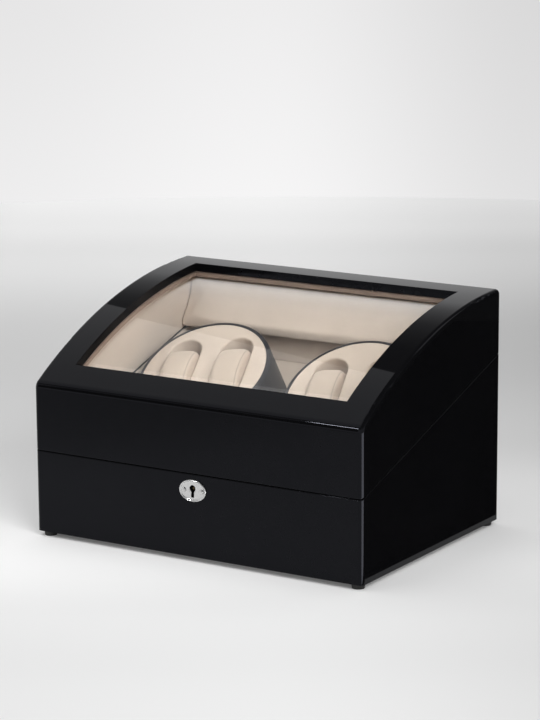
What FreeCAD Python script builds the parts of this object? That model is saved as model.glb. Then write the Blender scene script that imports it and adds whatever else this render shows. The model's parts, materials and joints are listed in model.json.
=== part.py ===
"""Watch winder box: a lacquered case with a curved glass lid over two turning drums."""
import FreeCAD
import Part
import math
import os
import Sketcher

# Driving sizes in millimetres and degrees
SIZES = {
    "case_width": 350,
    "case_depth": 255,
    "base_front_height": 76.5,
    "base_back_height": 160,
    "lid_front_height": 63.4,
    "lid_back_height": 59.9,
    "lid_arc_radius": 465,
    "wall": 12,
    "top_thickness": 8,
    "split_gap": 0.6,
    "corner_radius": 4.5,
    "nose_radius": 9,
    "lid_back_radius": 4,
    "split_radius": 0.8,
    "side_rail": 30,
    "front_rail": 25,
    "back_rail": 28,
    "glass_thickness": 3,
    "glass_lap": 10,
    "bedding": 0.15,
    "retainer_thickness": 3.5,
    "lining": 3,
    "lining_gap": 0.3,
    "lining_drop": 1.5,
    "roll_bulge": 23.5,
    "roll_top_depth": 6,
    "roll_band": 3.6,
    "roll_hollow_radius": 42,
    "roll_hollow_reach": 6.1,
    "roll_hollow_height": 28,
    "roll_nose_radius": 17.5,
    "roll_nose_setback": 3.5,
    "roll_nose_height": 15.8,
    "roll_lip_setback": 0.9,
    "roll_lip_height": 2.6,
    "bottom_thickness": 9,
    "bottom_rabbet": 5,
    "bottom_screw_spacing": 150,
    "floor_pad": 2,
    "foot_radius": 6.3,
    "foot_base_radius": 5.7,
    "foot_height": 5,
    "foot_inset": 9.2,
    "fit_clearance": 0.1,
    "screw_radius": 1.4,
    "screw_head_radius": 2.6,
    "screw_head_height": 1.5,
    "screw_dome": 0.5,
    "screw_length": 8,
    "drum_tilt": 34,
    "drum_back_gap": 10.856,
    "drum_face_height": 134,
    "drum_radius": 67.2,
    "drum_height": 58,
    "drum_wall": 2.5,
    "drum_rim_radius": 3.6,
    "drum_rest_angle": 11.5,
    "face_radius": 63,
    "face_thickness": 3,
    "face_gap": 0.2,
    "ledge_width": 3.5,
    "ledge_height": 3,
    "hub_radius": 9,
    "hub_height": 12,
    "pocket_width": 33,
    "pocket_length": 87,
    "pocket_spacing": 53.6,
    "pocket_depth": 36,
    "pocket_wall": 1.5,
    "pillow_side_gap": 0.8,
    "pillow_length": 60,
    "pillow_rise": 10,
    "pillow_floor_gap": 0.3,
    "pillow_corner": 12,
    "pillow_corner_reach": 7.6,
    "pillow_corner_drop": 11.2,
    "pillow_crown_radius": 60,
    "pillow_draw_in": 4,
    "deck_thickness": 6,
    "deck_gap": 2,
    "cleat_width": 14,
    "cleat_height": 12,
    "spindle_radius": 4,
    "running_clearance": 0.05,
    "bush_radius": 7,
    "bush_flange_radius": 11,
    "lower_bush_radius": 6,
    "thrust_gap": 0.3,
    "post_length": 14,
    "post_radius": 3,
    "post_stud_length": 4,
    "plate_thickness": 2,
    "plate_length": 90,
    "plate_width": 52,
    "post_inset": 5,
    "gear_module": 0.8,
    "pressure_angle": 20,
    "gear_teeth": 60,
    "pinion_teeth": 15,
    "gear_width": 6,
    "gear_drop": 4,
    "gear_hub_radius": 9,
    "backlash": 0.2,
    "mesh_clearance": 0.05,
    "motor_shaft_radius": 1.5,
    "motor_boss_radius": 3.5,
    "gearbox_radius": 12.5,
    "gearbox_length": 18,
    "motor_radius": 10,
    "motor_length": 22,
    "motor_screw_spacing": 17,
    "hinge_spacing": 220,
    "hinge_length": 50,
    "leaf_thickness": 1.2,
    "leaf_reach": 12.5,
    "knuckle_radius": 2.7,
    "knuckle_length": 12,
    "knuckle_gap": 0.3,
    "pin_radius": 1.25,
    "pin_offset": 3,
    "hinge_screw_spacing": 32,
    "hinge_screw_head": 2.3,
    "hinge_screw_setback": 8,
    "rest_pad_radius": 3.5,
    "rest_pad_inset": 6,
    "rest_pad_setback": 24,
    "rest_pad_gap": 0.1,
    "lock_drop": 14.5,
    "lock_width": 36,
    "lock_height": 30,
    "lock_setback": 5.5,
    "lock_thickness": 9.8,
    "lock_top_gap": 0.5,
    "lock_cavity_radius": 6,
    "drill_pin_radius": 1.1,
    "keyhole_radius": 2.9,
    "keyhole_slot": 2.6,
    "keyhole_length": 8,
    "keyhole_rise": 2,
    "staple_setback": 8.6,
    "staple_width": 5,
    "staple_thickness": 2,
    "staple_length": 9,
    "bolt_depth": 6,
    "bolt_nose": 2.2,
    "bolt_tail": 4.4,
    "bolt_tail_length": 9,
    "bolt_nose_length": 5.5,
    "bolt_travel": 5,
    "bolt_talon_length": 5,
    "bolt_clearance": 0.3,
    "strike_length": 30,
    "strike_width": 8,
    "strike_thickness": 1.5,
    "strike_screw_spacing": 20,
    "escutcheon_width": 28.5,
    "escutcheon_height": 20.4,
    "escutcheon_thickness": 1.8,
    "escutcheon_floor": 1,
    "escutcheon_rim": 1.4,
    "escutcheon_screw_spacing": 18.5,
    "escutcheon_screw_head": 2.1,
    "escutcheon_screw_length": 4.8,
    "control_width": 120,
    "control_height": 36,
    "control_thickness": 2.5,
    "control_level": 34,
    "control_border": 7,
    "control_screw_inset": 4,
    "board_setback": 16,
    "board_thickness": 1.6,
    "board_width": 108,
    "board_height": 25,
    "knob_spacing": 36,
    "knob_radius": 8,
    "knob_height": 4.8,
    "knob_gap": 0.3,
    "knob_stem_radius": 2.5,
    "knob_groove_width": 1.3,
    "knob_groove_depth": 1,
    "switch_body": 14,
    "switch_neck_radius": 3.6,
    "jack_place": 42,
    "jack_radius": 5.5,
    "jack_lip_radius": 6.5,
    "jack_lip": 1.2,
    "jack_bore_radius": 2.9,
    "jack_pin_radius": 1.05,
    "jack_bore_depth": 9,
    "rocker_place": 42,
    "rocker_width": 10,
    "rocker_length": 15,
    "rocker_angle": 9,
    "rocker_height": 6,
    "rocker_gap": 1,
    "rocker_frame": 2,
    "rocker_lip": 1.2,
    "lead_radius": 0.9,
    "lead_straight": 3,
    "lead_drop": 10,
}

# How the free width beside the drums is shared between their middle and the side walls
DRUM_GAP_SHARE = 0.5391
# Cross sections of a pillow: place across its half width, and share of the draw-in there
PILLOW_SECTIONS = ((-1, 1), (-0.75, 0.25), (0, 0), (0.75, 0.25), (1, 1))
# Levels of a tooth flank from the pitch circle, in modules
TOOTH_LEVELS = (-1.25, -0.4, 0.3, 1)
# How close two numbers are taken as the same, in millimetres
SAME = 1e-3

doc = FreeCAD.newDocument("watch_winder_box")
vector = FreeCAD.Vector
sheet = doc.addObject("Spreadsheet::Sheet", "size")
for row, (alias, number) in enumerate(SIZES.items(), start=1):
    sheet.set(f"A{row}", alias)
    sheet.set(f"B{row}", str(number))
    sheet.setAlias(f"B{row}", alias)
doc.recompute()

# Places in the case frame: X from the middle, Y from the front face, Z from the lower edge of the base
HALF_WIDTH = "(size.case_width / 2)"
INNER_X = f"({HALF_WIDTH} - size.wall)"
LINED_X = f"({INNER_X} - size.lining)"
INNER_BACK = "(size.case_depth - size.wall)"
LINED_FRONT = "(size.wall + size.lining)"
LINED_BACK = f"({INNER_BACK} - size.lining)"
SLOPE = "((size.base_back_height - size.base_front_height) / size.case_depth)"
SPLIT_ANGLE = f"atan({SLOPE})"
HALF_GAP = f"(size.split_gap / 2 * cos({SPLIT_ANGLE}))"
LID_FRONT_TOP = "(size.base_front_height + size.split_gap + size.lid_front_height)"
LID_BACK_TOP = "(size.base_back_height + size.split_gap + size.lid_back_height)"
LID_RISE = f"({LID_BACK_TOP} - {LID_FRONT_TOP})"
LID_CHORD = f"sqrt(size.case_depth^2 + {LID_RISE}^2)"
LID_REACH = f"sqrt(size.lid_arc_radius^2 - ({LID_CHORD} / 2)^2)"
ARC_Y = f"(size.case_depth / 2 + {LID_RISE} / {LID_CHORD} * {LID_REACH})"
ARC_Z = f"(({LID_FRONT_TOP} + {LID_BACK_TOP}) / 2 - size.case_depth / {LID_CHORD} * {LID_REACH})"
GLASS_DROP = "(size.top_thickness + size.bedding)"
RETAINER_DROP = f"({GLASS_DROP} + size.glass_thickness + size.bedding)"
LID_LINING_DROP = f"({RETAINER_DROP} + size.retainer_thickness + size.lining_gap)"
DRUM_X = f"(size.drum_radius + {DRUM_GAP_SHARE} * ({LINED_X} - 2 * size.drum_radius))"
DRUM_Y = (f"({LINED_BACK} - size.drum_back_gap - size.drum_height * sin(size.drum_tilt)"
          " - size.drum_radius * cos(size.drum_tilt))")
DECK_DROP = "(size.drum_height + size.deck_gap)"
DECK_UNDER = f"({DECK_DROP} + size.deck_thickness)"
PLATE_TOP = f"({DECK_UNDER} + size.post_length)"
PLATE_UNDER = f"({PLATE_TOP} + size.plate_thickness)"
GEAR_TOP = f"({DECK_UNDER} + size.gear_drop)"
FLOOR = "size.bottom_thickness"
MOTOR_OFFSET = "(size.gear_module * (size.gear_teeth + size.pinion_teeth) / 2 + size.mesh_clearance)"
LOCK_Z = "(size.base_front_height - size.lock_drop)"
KEY_Z = f"({LOCK_Z} + size.keyhole_rise)"
BOARD_Y = "(size.case_depth - size.board_setback)"
PLATE_INNER_Y = "(size.case_depth - size.control_thickness)"

# The three frames that pieces are placed in
ORIGIN_Y = ("(-(size.case_depth + size.pin_offset + size.knuckle_radius"
            " - size.escutcheon_thickness) / 2)")


def split_height(depth):
    """Height of the sloping cut through the walls at a distance from the front face."""
    return f"(size.base_front_height + {SLOPE} * ({depth}))"


def split_along(depth):
    """Distance along the sloping cut, from the hinge pin, for a distance from the front face."""
    return f"(-(size.case_depth + size.pin_offset - ({depth})) / cos({SPLIT_ANGLE}))"


def lid_surface(depth, drop):
    """Height of the lid's curved top, less a thickness, at a distance from the front face."""
    return f"({ARC_Z} + sqrt((size.lid_arc_radius - {drop})^2 - (({depth}) - {ARC_Y})^2))"


def deck_height(depth, drop):
    """Height of a plane parallel to the drum faces, a drop below them."""
    run = f"(({depth}) - {DRUM_Y}) * sin(size.drum_tilt)"
    return f"(size.drum_face_height + ({run} - {drop}) / cos(size.drum_tilt))"


def deck_front(height, drop):
    """Distance from the front face where that plane reaches a height."""
    fall = f"(({height}) - size.drum_face_height) * cos(size.drum_tilt)"
    return f"({DRUM_Y} + ({fall} + {drop}) / sin(size.drum_tilt))"


PIN_Z = f"({split_height('size.case_depth + size.pin_offset')} + size.split_gap / 2)"
LOCK_TOP = f"({split_height('size.lock_setback')} - size.lock_top_gap)"
STAPLE_Y = split_along("size.staple_setback")
FRAMES = {
    "case": ("0", "0", "0"),
    "drum": (DRUM_Y, "size.drum_face_height", "size.drum_tilt"),
    "split": ("size.case_depth + size.pin_offset", PIN_Z, SPLIT_ANGLE),
}
NODES = {}


def value(expression):
    """Number that an expression of the sheet's sizes gives."""
    result = sheet.evalExpression(expression)
    return float(getattr(result, "Value", result))


def bind(thing, **expressions):
    """Bind properties of an object to expressions of the sheet's sizes."""
    for name, expression in expressions.items():
        thing.setExpression(name, expression)


def tilt(thing, frame, origin=("0", "0")):
    """Place an object that is drawn in one of the three frames."""
    depth, height, angle = FRAMES[frame]
    thing.Placement = FreeCAD.Placement(vector(), FreeCAD.Rotation(vector(1, 0, 0), 1))
    thing.setExpression(".Placement.Base.y", f"{depth} + {origin[0]}")
    thing.setExpression(".Placement.Base.z", f"{height} + {origin[1]}")
    thing.setExpression(".Placement.Rotation.Angle", angle)
    return thing


def node(label, thing, frame="case"):
    """Name a finished sub-part and place it in the part's own frame, with the floor at zero."""
    if thing.TypeId in ("Part::Box", "Part::Cylinder"):
        thing = group(f"{label}_alone", [thing])
    thing.Label = label
    NODES[label] = tilt(thing, frame, (ORIGIN_Y, "size.foot_height"))
    return thing


# Sketches and features
def new_sketch(body, name, plane, offset="0", turn="0"):
    """Empty sketch on one of a body's origin planes, moved along its normal and turned about it."""
    sketch = body.newObject("Sketcher::SketchObject", name)
    support = [item for item in body.Origin.OriginFeatures if item.Role == plane][0]
    sketch.AttachmentSupport = [(support, "")]
    sketch.MapMode = "FlatFace"
    if offset != "0":
        sketch.setExpression(".AttachmentOffset.Base.z", offset)
    if turn != "0":
        sketch.AttachmentOffset = FreeCAD.Placement(vector(), FreeCAD.Rotation(vector(0, 0, 1), 1))
        sketch.setExpression(".AttachmentOffset.Rotation.Angle", turn)
    return sketch


def hold(sketch, kind, expression, *where):
    """Add a driving constraint that follows an expression."""
    index = sketch.addConstraint(Sketcher.Constraint(kind, *where, value(expression)))
    sketch.setExpression(f"Constraints[{index}]", expression)


def hold_point(sketch, geometry, position, across, up):
    """Fix a sketch point at two expressions measured from the sketch's origin."""
    for kind, axis, expression in (("DistanceX", -2, across), ("DistanceY", -1, up)):
        if expression == "0":
            sketch.addConstraint(Sketcher.Constraint("PointOnObject", geometry, position, axis))
        else:
            hold(sketch, kind, expression, -1, 1, geometry, position)


def draw_loop(sketch, corners):
    """Closed outline; a corner with a radius and a turn starts an arc, 1 to the left, -1 to the right."""
    places = [vector(value(corner[0]), value(corner[1]), 0) for corner in corners]
    spans = []
    for index, corner in enumerate(corners):
        start = places[index]
        end = places[(index + 1) % len(places)]
        if len(corner) == 2:
            spans.append((sketch.addGeometry(Part.LineSegment(start, end)), 1, 2))
            continue
        radius = value(corner[2])
        chord = end - start
        side = vector(-chord.y, chord.x, 0).normalize() * corner[3]
        centre = (start + end) * 0.5 + side * math.sqrt(radius ** 2 - (chord.Length / 2) ** 2)
        first, last = (start, end) if corner[3] > 0 else (end, start)
        angles = [math.atan2(place.y - centre.y, place.x - centre.x) for place in (first, last)]
        arc = Part.ArcOfCircle(Part.Circle(centre, vector(0, 0, 1), radius), *angles)
        ends = (1, 2) if corner[3] > 0 else (2, 1)
        spans.append((sketch.addGeometry(arc), *ends))
    for index, (geometry, start, end) in enumerate(spans):
        following = spans[(index + 1) % len(spans)]
        sketch.addConstraint(Sketcher.Constraint("Coincident", geometry, end, following[0], following[1]))
    for (geometry, start, end), corner in zip(spans, corners):
        hold_point(sketch, geometry, start, corner[0], corner[1])
        if len(corner) == 4:
            hold(sketch, "Radius", corner[2], geometry)


def draw_rectangle(sketch, left, right, low, high):
    draw_loop(sketch, [(left, low), (right, low), (right, high), (left, high)])


def draw_obround(sketch, across, half_width, half_straight):
    """Slot outline with round ends, its long way up the sketch."""
    left = f"({across} - {half_width})"
    right = f"({across} + {half_width})"
    quarter_low = f"(-{half_straight} - {half_width})"
    quarter_high = f"({half_straight} + {half_width})"
    draw_loop(sketch, [
        (right, f"(-{half_straight})"),
        (right, half_straight, half_width, 1),
        (across, quarter_high, half_width, 1),
        (left, half_straight),
        (left, f"(-{half_straight})", half_width, 1),
        (across, quarter_low, half_width, 1),
    ])


def add_feature(body, kind, sketch, length=None, symmetric=False, reverse=False):
    """Pad or Pocket; without a length a Pocket goes through everything."""
    feature = body.newObject(f"PartDesign::{kind}", f"{sketch.Name}_{kind}")
    feature.Profile = sketch
    if length is None:
        feature.Type = "ThroughAll"
    else:
        bind(feature, Length=length)
    feature.SideType = "Symmetric" if symmetric else "One side"
    feature.Reversed = reverse
    return feature


def revolve(name, corners):
    """Body of revolution about Z from an outline of radius and height."""
    body = doc.addObject("PartDesign::Body", name)
    sketch = new_sketch(body, f"{name}_section", "XZ_Plane")
    draw_loop(sketch, corners)
    feature = body.newObject("PartDesign::Revolution", f"{name}_turned")
    feature.Profile = sketch
    feature.ReferenceAxis = (sketch, ["V_Axis"])
    return body


def slab(name, corners, width, offset="0", symmetric=True):
    """Body padded along X from a side outline of depth and height."""
    body = doc.addObject("PartDesign::Body", name)
    sketch = new_sketch(body, f"{name}_side", "YZ_Plane", offset)
    draw_loop(sketch, corners)
    add_feature(body, "Pad", sketch, width, symmetric)
    return body


def round_edges(body, radius, chosen):
    """Round the edges of a body that a test picks."""
    doc.recompute()
    names = [f"Edge{index}" for index, edge in enumerate(body.Shape.Edges, start=1) if chosen(edge)]
    previous = body.Tip
    feature = body.newObject("PartDesign::Fillet", f"{body.Name}_round")
    feature.Base = (previous, names)
    bind(feature, Radius=radius)
    doc.recompute()


# Primitives and booleans
def block(name, x_range, y_range, z_range):
    """Box between three pairs of expressions."""
    box = doc.addObject("Part::Box", name)
    for side, axis, (low, high) in zip(("Length", "Width", "Height"), "xyz", (x_range, y_range, z_range)):
        box.setExpression(side, f"({high}) - ({low})")
        box.setExpression(f".Placement.Base.{axis}", low)
    return box


def middle(width, centre="0"):
    """Range of a width about a centre."""
    return f"{centre} - ({width}) / 2", f"{centre} + ({width}) / 2"


AXES = {"x": (vector(0, 1, 0), 90), "y": (vector(1, 0, 0), -90), "z": (vector(0, 0, 1), 0)}


def rod(name, radius, length, start, axis="z"):
    """Cylinder from a start point along one axis."""
    cylinder = doc.addObject("Part::Cylinder", name)
    bind(cylinder, Radius=radius, Height=length)
    cylinder.Placement = FreeCAD.Placement(vector(), FreeCAD.Rotation(*AXES[axis]))
    for letter, expression in zip("xyz", start):
        cylinder.setExpression(f".Placement.Base.{letter}", expression)
    return cylinder


def fuse(name, pieces):
    joined = doc.addObject("Part::MultiFuse", name)
    joined.Shapes = pieces
    return joined


def group(name, pieces):
    """Separate solids held in one node."""
    together = doc.addObject("Part::Compound", name)
    together.Links = pieces
    return together


def cut(name, base, tools):
    """Base piece less one or more tools."""
    result = doc.addObject("Part::Cut", name)
    result.Base = base
    result.Tool = tools[0] if len(tools) == 1 else group(f"{name}_tools", tools)
    return result


POINTING = {
    "down": (vector(0, 0, 1), 0),
    "up": (vector(1, 0, 0), 180),
    "back": (vector(1, 0, 0), 90),
    "front": (vector(1, 0, 0), -90),
}


def screw(name, head_at, pointing, length="size.screw_length", flat=True, room="0", head=None):
    """Screw whose head face is at a point: flat heads sink in, round heads stand proud."""
    head = head or "size.screw_head_radius"
    shank = rod(f"{name}_shank", f"size.screw_radius + {room}", f"{length} + {room}",
                ("0", "0", f"-({length}) - {room}"))
    top = doc.addObject("Part::Cone", f"{name}_head")
    if flat:
        bind(top, Radius1=f"size.screw_radius + {room}", Radius2=f"{head} + {room}",
             Height="size.screw_head_height")
        top.setExpression(".Placement.Base.z", "-size.screw_head_height")
    else:
        bind(top, Radius1=head, Radius2=f"{head} - size.screw_dome", Height="size.screw_head_height")
    whole = fuse(name, [shank, top])
    whole.Placement = FreeCAD.Placement(vector(), FreeCAD.Rotation(*POINTING[pointing]))
    for letter, expression in zip("xyz", head_at):
        whole.setExpression(f".Placement.Base.{letter}", expression)
    return whole


def screw_set(label, places, pointing, frame="case", **options):
    """Node of like screws, and the clearance holes that they need; places may each have a way to point."""
    screws = []
    holes = []
    for index, place in enumerate(places):
        way = place[3] if len(place) > 3 else pointing
        screws.append(screw(f"{label}_{index}", place[:3], way, **options))
        holes.append(screw(f"{label}_hole_{index}", place[:3], way, room="size.fit_clearance", **options))
    node(label, group(f"{label}_set", screws), frame)
    return tilt(group(f"{label}_holes", holes), frame)


SIDES = {"left": "-1", "right": "1"}
FOUR_CORNERS = [(across, along) for across in ("-1", "1") for along in ("-1", "1")]


# Case
def in_plane_x(edge, offset):
    return all(abs(abs(vertex.X) - offset) < SAME for vertex in edge.Vertexes)


def on_split(vertex, gap):
    slope = value(SLOPE)
    return abs(vertex.Z - (value("size.base_front_height") + slope * vertex.Y + gap)) < SAME


def build_base_case(holes):
    """Four lacquered walls with the bottom rabbet, cut off along the sloping line."""
    body = slab("base_shell", [
        ("0", "0"),
        ("size.case_depth", "0"),
        ("size.case_depth", "size.base_back_height"),
        ("0", "size.base_front_height"),
    ], "size.case_width")
    round_edges(body, "size.corner_radius", lambda edge: abs(edge.BoundBox.ZLength - edge.Length) < SAME)
    round_edges(body, "size.split_radius", lambda edge: all(on_split(v, 0) for v in edge.Vertexes))
    cavity = new_sketch(body, "base_cavity", "XY_Plane")
    draw_rectangle(cavity, f"-{INNER_X}", INNER_X, "size.wall", INNER_BACK)
    add_feature(body, "Pocket", cavity, reverse=True)
    rabbet = new_sketch(body, "base_rabbet", "XY_Plane")
    draw_rectangle(rabbet, f"(-{INNER_X} - size.bottom_rabbet)", f"({INNER_X} + size.bottom_rabbet)",
                   "(size.wall - size.bottom_rabbet)", f"({INNER_BACK} + size.bottom_rabbet)")
    add_feature(body, "Pocket", rabbet, "size.bottom_thickness", reverse=True)
    return node("base_case", cut("base_case_cut", body, holes))


def build_lid_frame(holes):
    """Lacquered lid shell with a vertical front, a curved top and the window."""
    body = slab("lid_shell", [
        ("0", "(size.base_front_height + size.split_gap)"),
        ("size.case_depth", "(size.base_back_height + size.split_gap)"),
        ("size.case_depth", LID_BACK_TOP, "size.lid_arc_radius", 1),
        ("0", LID_FRONT_TOP),
    ], "size.case_width")

    def top_edge(depth, height):
        def chosen(edge):
            return all(abs(v.Y - depth) < SAME and abs(v.Z - height) < SAME for v in edge.Vertexes)
        return chosen

    round_edges(body, "size.nose_radius", top_edge(0, value(LID_FRONT_TOP)))
    round_edges(body, "size.lid_back_radius", top_edge(value("size.case_depth"), value(LID_BACK_TOP)))
    half_width = value(HALF_WIDTH)
    gap = value("size.split_gap")

    def side_edge(edge):
        return in_plane_x(edge, half_width) and not all(on_split(v, gap) for v in edge.Vertexes)

    round_edges(body, "size.corner_radius", side_edge)
    round_edges(body, "size.split_radius", lambda edge: all(on_split(v, gap) for v in edge.Vertexes))
    cavity = new_sketch(body, "lid_cavity", "YZ_Plane")
    draw_loop(cavity, [
        ("size.wall", "size.base_front_height"),
        (INNER_BACK, "size.base_front_height"),
        (INNER_BACK, lid_surface(INNER_BACK, "size.top_thickness"),
         "(size.lid_arc_radius - size.top_thickness)", 1),
        ("size.wall", lid_surface("size.wall", "size.top_thickness")),
    ])
    add_feature(body, "Pocket", cavity, f"2 * {INNER_X}", symmetric=True)
    cut_window(body, "lid_window")
    return node("lid_frame", cut("lid_frame_cut", body, holes))


def cut_window(body, name):
    """Opening between the rails of the lid's top."""
    window = new_sketch(body, name, "XY_Plane")
    draw_rectangle(window, f"(size.side_rail - {HALF_WIDTH})", f"({HALF_WIDTH} - size.side_rail)",
                   "size.front_rail", "(size.case_depth - size.back_rail)")
    add_feature(body, "Pocket", window, reverse=True)


def curved_sheet(name, front, back, drop, thickness, width):
    """Sheet that follows the lid's curve at a drop below its top."""
    under = f"({drop} + {thickness})"
    return slab(name, [
        (front, lid_surface(front, under), f"(size.lid_arc_radius - {under})", -1),
        (back, lid_surface(back, under)),
        (back, lid_surface(back, drop), f"(size.lid_arc_radius - {drop})", 1),
        (front, lid_surface(front, drop)),
    ], width)


def build_glass():
    """Curved pane under the window, and the brown strip that keeps it there."""
    node("glass_pane", curved_sheet(
        "glass_sheet", "(size.front_rail - size.glass_lap)",
        "(size.case_depth - size.back_rail + size.glass_lap)", GLASS_DROP, "size.glass_thickness",
        f"2 * ({HALF_WIDTH} - size.side_rail + size.glass_lap)"))
    retainer = curved_sheet(
        "retainer_sheet", "(size.wall + size.fit_clearance)", f"({INNER_BACK} - size.fit_clearance)",
        RETAINER_DROP, "size.retainer_thickness", f"2 * ({INNER_X} - size.fit_clearance)")
    cut_window(retainer, "retainer_window")
    node("glass_retainer", retainer)


def build_bottom():
    """Bottom panel, its screws, and the feet with theirs."""
    margin = "(size.wall - size.bottom_rabbet + size.fit_clearance)"
    panel = block("bottom_board", (f"{margin} - {HALF_WIDTH}", f"{HALF_WIDTH} - {margin}"),
                  (margin, f"size.case_depth - {margin}"), ("0", "size.bottom_thickness"))
    row = "(size.wall - size.bottom_rabbet / 2)"
    rows = (row, f"(size.case_depth - {row})")
    places = [(f"{step} * size.bottom_screw_spacing / 2", depth, "0")
              for step in ("-1", "0", "1") for depth in rows]
    panel_holes = screw_set("bottom_screws", places, "up", length="2 * size.screw_length")
    inset_x = f"({HALF_WIDTH} - size.foot_inset)"
    middle_y = "size.case_depth / 2"
    spots = [(f"{across} * {inset_x}", f"{middle_y} + {along} * ({middle_y} - size.foot_inset)")
             for across, along in FOUR_CORNERS]
    foot_places = [(*spot, "-size.foot_height / 2") for spot in spots]
    foot_holes = screw_set("foot_screws", foot_places, "up")
    feet = []
    for index, spot in enumerate(spots):
        foot = doc.addObject("Part::Cone", f"foot_{index}")
        bind(foot, Radius1="size.foot_base_radius", Radius2="size.foot_radius", Height="size.foot_height")
        for letter, expression in zip("xyz", (*spot, "-size.foot_height")):
            foot.setExpression(f".Placement.Base.{letter}", expression)
        well = rod(f"foot_well_{index}", "size.screw_head_radius + size.fit_clearance",
                   "size.foot_height / 2", (*spot, "-size.foot_height"))
        feet.append(cut(f"foot_cut_{index}", foot, [well, foot_holes]))
    node("feet", group("feet_set", feet))
    node("bottom_panel", cut("bottom_cut", panel, [panel_holes, foot_holes]))
    return [panel_holes, foot_holes]


# Linings
def build_linings():
    """Velvet-covered boards of the base and the lid, and the padded roll at the lid's back."""
    across = f"2 * ({LINED_X} - size.lining_gap)"
    low = f"({FLOOR} + size.floor_pad + size.lining_gap)"
    deck_clear = f"({DECK_DROP} - size.lining_gap)"

    def under_split(depth):
        return f"({split_height(depth)} - size.lining_drop)"

    def over_split(depth):
        return f"({split_height(depth)} + size.split_gap + size.lining_drop)"

    front = slab("front_board", [
        ("size.wall", low), (LINED_FRONT, low),
        (LINED_FRONT, under_split(LINED_FRONT)), ("size.wall", under_split("size.wall")),
    ], across)
    lock_room = block("lock_room", middle("size.lock_width + 2 * size.lining_gap"),
                      ("0", "2 * size.wall"),
                      (f"{LOCK_TOP} - size.lock_height - size.lining_gap", "size.base_back_height"))
    node("base_front_lining", cut("front_board_cut", front, [lock_room]))
    node("base_back_lining", slab("back_board", [
        (LINED_BACK, deck_height(LINED_BACK, deck_clear)),
        (INNER_BACK, deck_height(INNER_BACK, deck_clear)),
        (INNER_BACK, under_split(INNER_BACK)), (LINED_BACK, under_split(LINED_BACK)),
    ], across))
    floor_back = f"{deck_front(FLOOR, DECK_DROP)} - size.floor_pad"
    node("floor_lining", block("floor_board", middle(across), ("size.wall + size.lining_gap", floor_back),
                               (FLOOR, f"{FLOOR} + size.floor_pad")))
    side_front = "(size.wall + size.lining_gap)"
    side_back = f"({INNER_BACK} - size.lining_gap)"
    knee = deck_front(low, deck_clear)
    base_boards = []
    lid_boards = []
    for side, sign in SIDES.items():
        inner = LINED_X if sign == "1" else f"(-{INNER_X})"
        base_boards.append(slab(f"base_{side}_board", [
            (side_front, low), (knee, low), (side_back, deck_height(side_back, deck_clear)),
            (side_back, under_split(side_back)), (side_front, under_split(side_front)),
        ], "size.lining", inner, symmetric=False))
        lid_boards.append(slab(f"lid_{side}_board", [
            (side_front, over_split(side_front)), (side_back, over_split(side_back)),
            (side_back, lid_surface(side_back, LID_LINING_DROP),
             f"(size.lid_arc_radius - {LID_LINING_DROP})", 1),
            (side_front, lid_surface(side_front, LID_LINING_DROP)),
        ], "size.lining", inner, symmetric=False))
    node("base_side_linings", group("base_side_boards", base_boards))
    node("lid_side_linings", group("lid_side_boards", lid_boards))
    node("lid_front_lining", slab("lid_front_board", [
        ("size.wall", over_split("size.wall")), (LINED_FRONT, over_split(LINED_FRONT)),
        (LINED_FRONT, lid_surface(LINED_FRONT, LID_LINING_DROP)),
        ("size.wall", lid_surface("size.wall", LID_LINING_DROP)),
    ], across))
    nose = f"({INNER_BACK} - size.roll_bulge)"
    top = f"({INNER_BACK} - size.roll_top_depth)"
    top_height = lid_surface(top, LID_LINING_DROP)
    foot = over_split(nose)
    node("lid_back_lining", slab("lid_back_roll", [
        (INNER_BACK, over_split(INNER_BACK)),
        (INNER_BACK, lid_surface(INNER_BACK, LID_LINING_DROP)),
        (top, top_height),
        (top, f"({top_height} - size.roll_band)", "size.roll_hollow_radius", -1),
        (f"({top} - size.roll_hollow_reach)", f"({foot} + size.roll_hollow_height)"),
        (f"({nose} + size.roll_nose_setback)", f"({foot} + size.roll_nose_height)",
         "size.roll_nose_radius", 1),
        (f"({nose} + size.roll_lip_setback)", f"({foot} + size.roll_lip_height)"),
    ], across))


# Deck and drive
def drum_x(sign):
    return f"({sign} * {DRUM_X})"


def motor_x(sign):
    return f"({drum_x(sign)} - {sign} * {MOTOR_OFFSET})"


def plate_x(sign):
    return f"({drum_x(sign)} - {sign} * {MOTOR_OFFSET} / 2)"


def post_places(sign):
    reach = "(size.plate_length / 2 - size.post_inset)"
    rise = "(size.plate_width / 2 - size.post_inset)"
    return [(f"{plate_x(sign)} + {across} * {reach}", f"{along} * {rise}")
            for across, along in FOUR_CORNERS]


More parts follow.
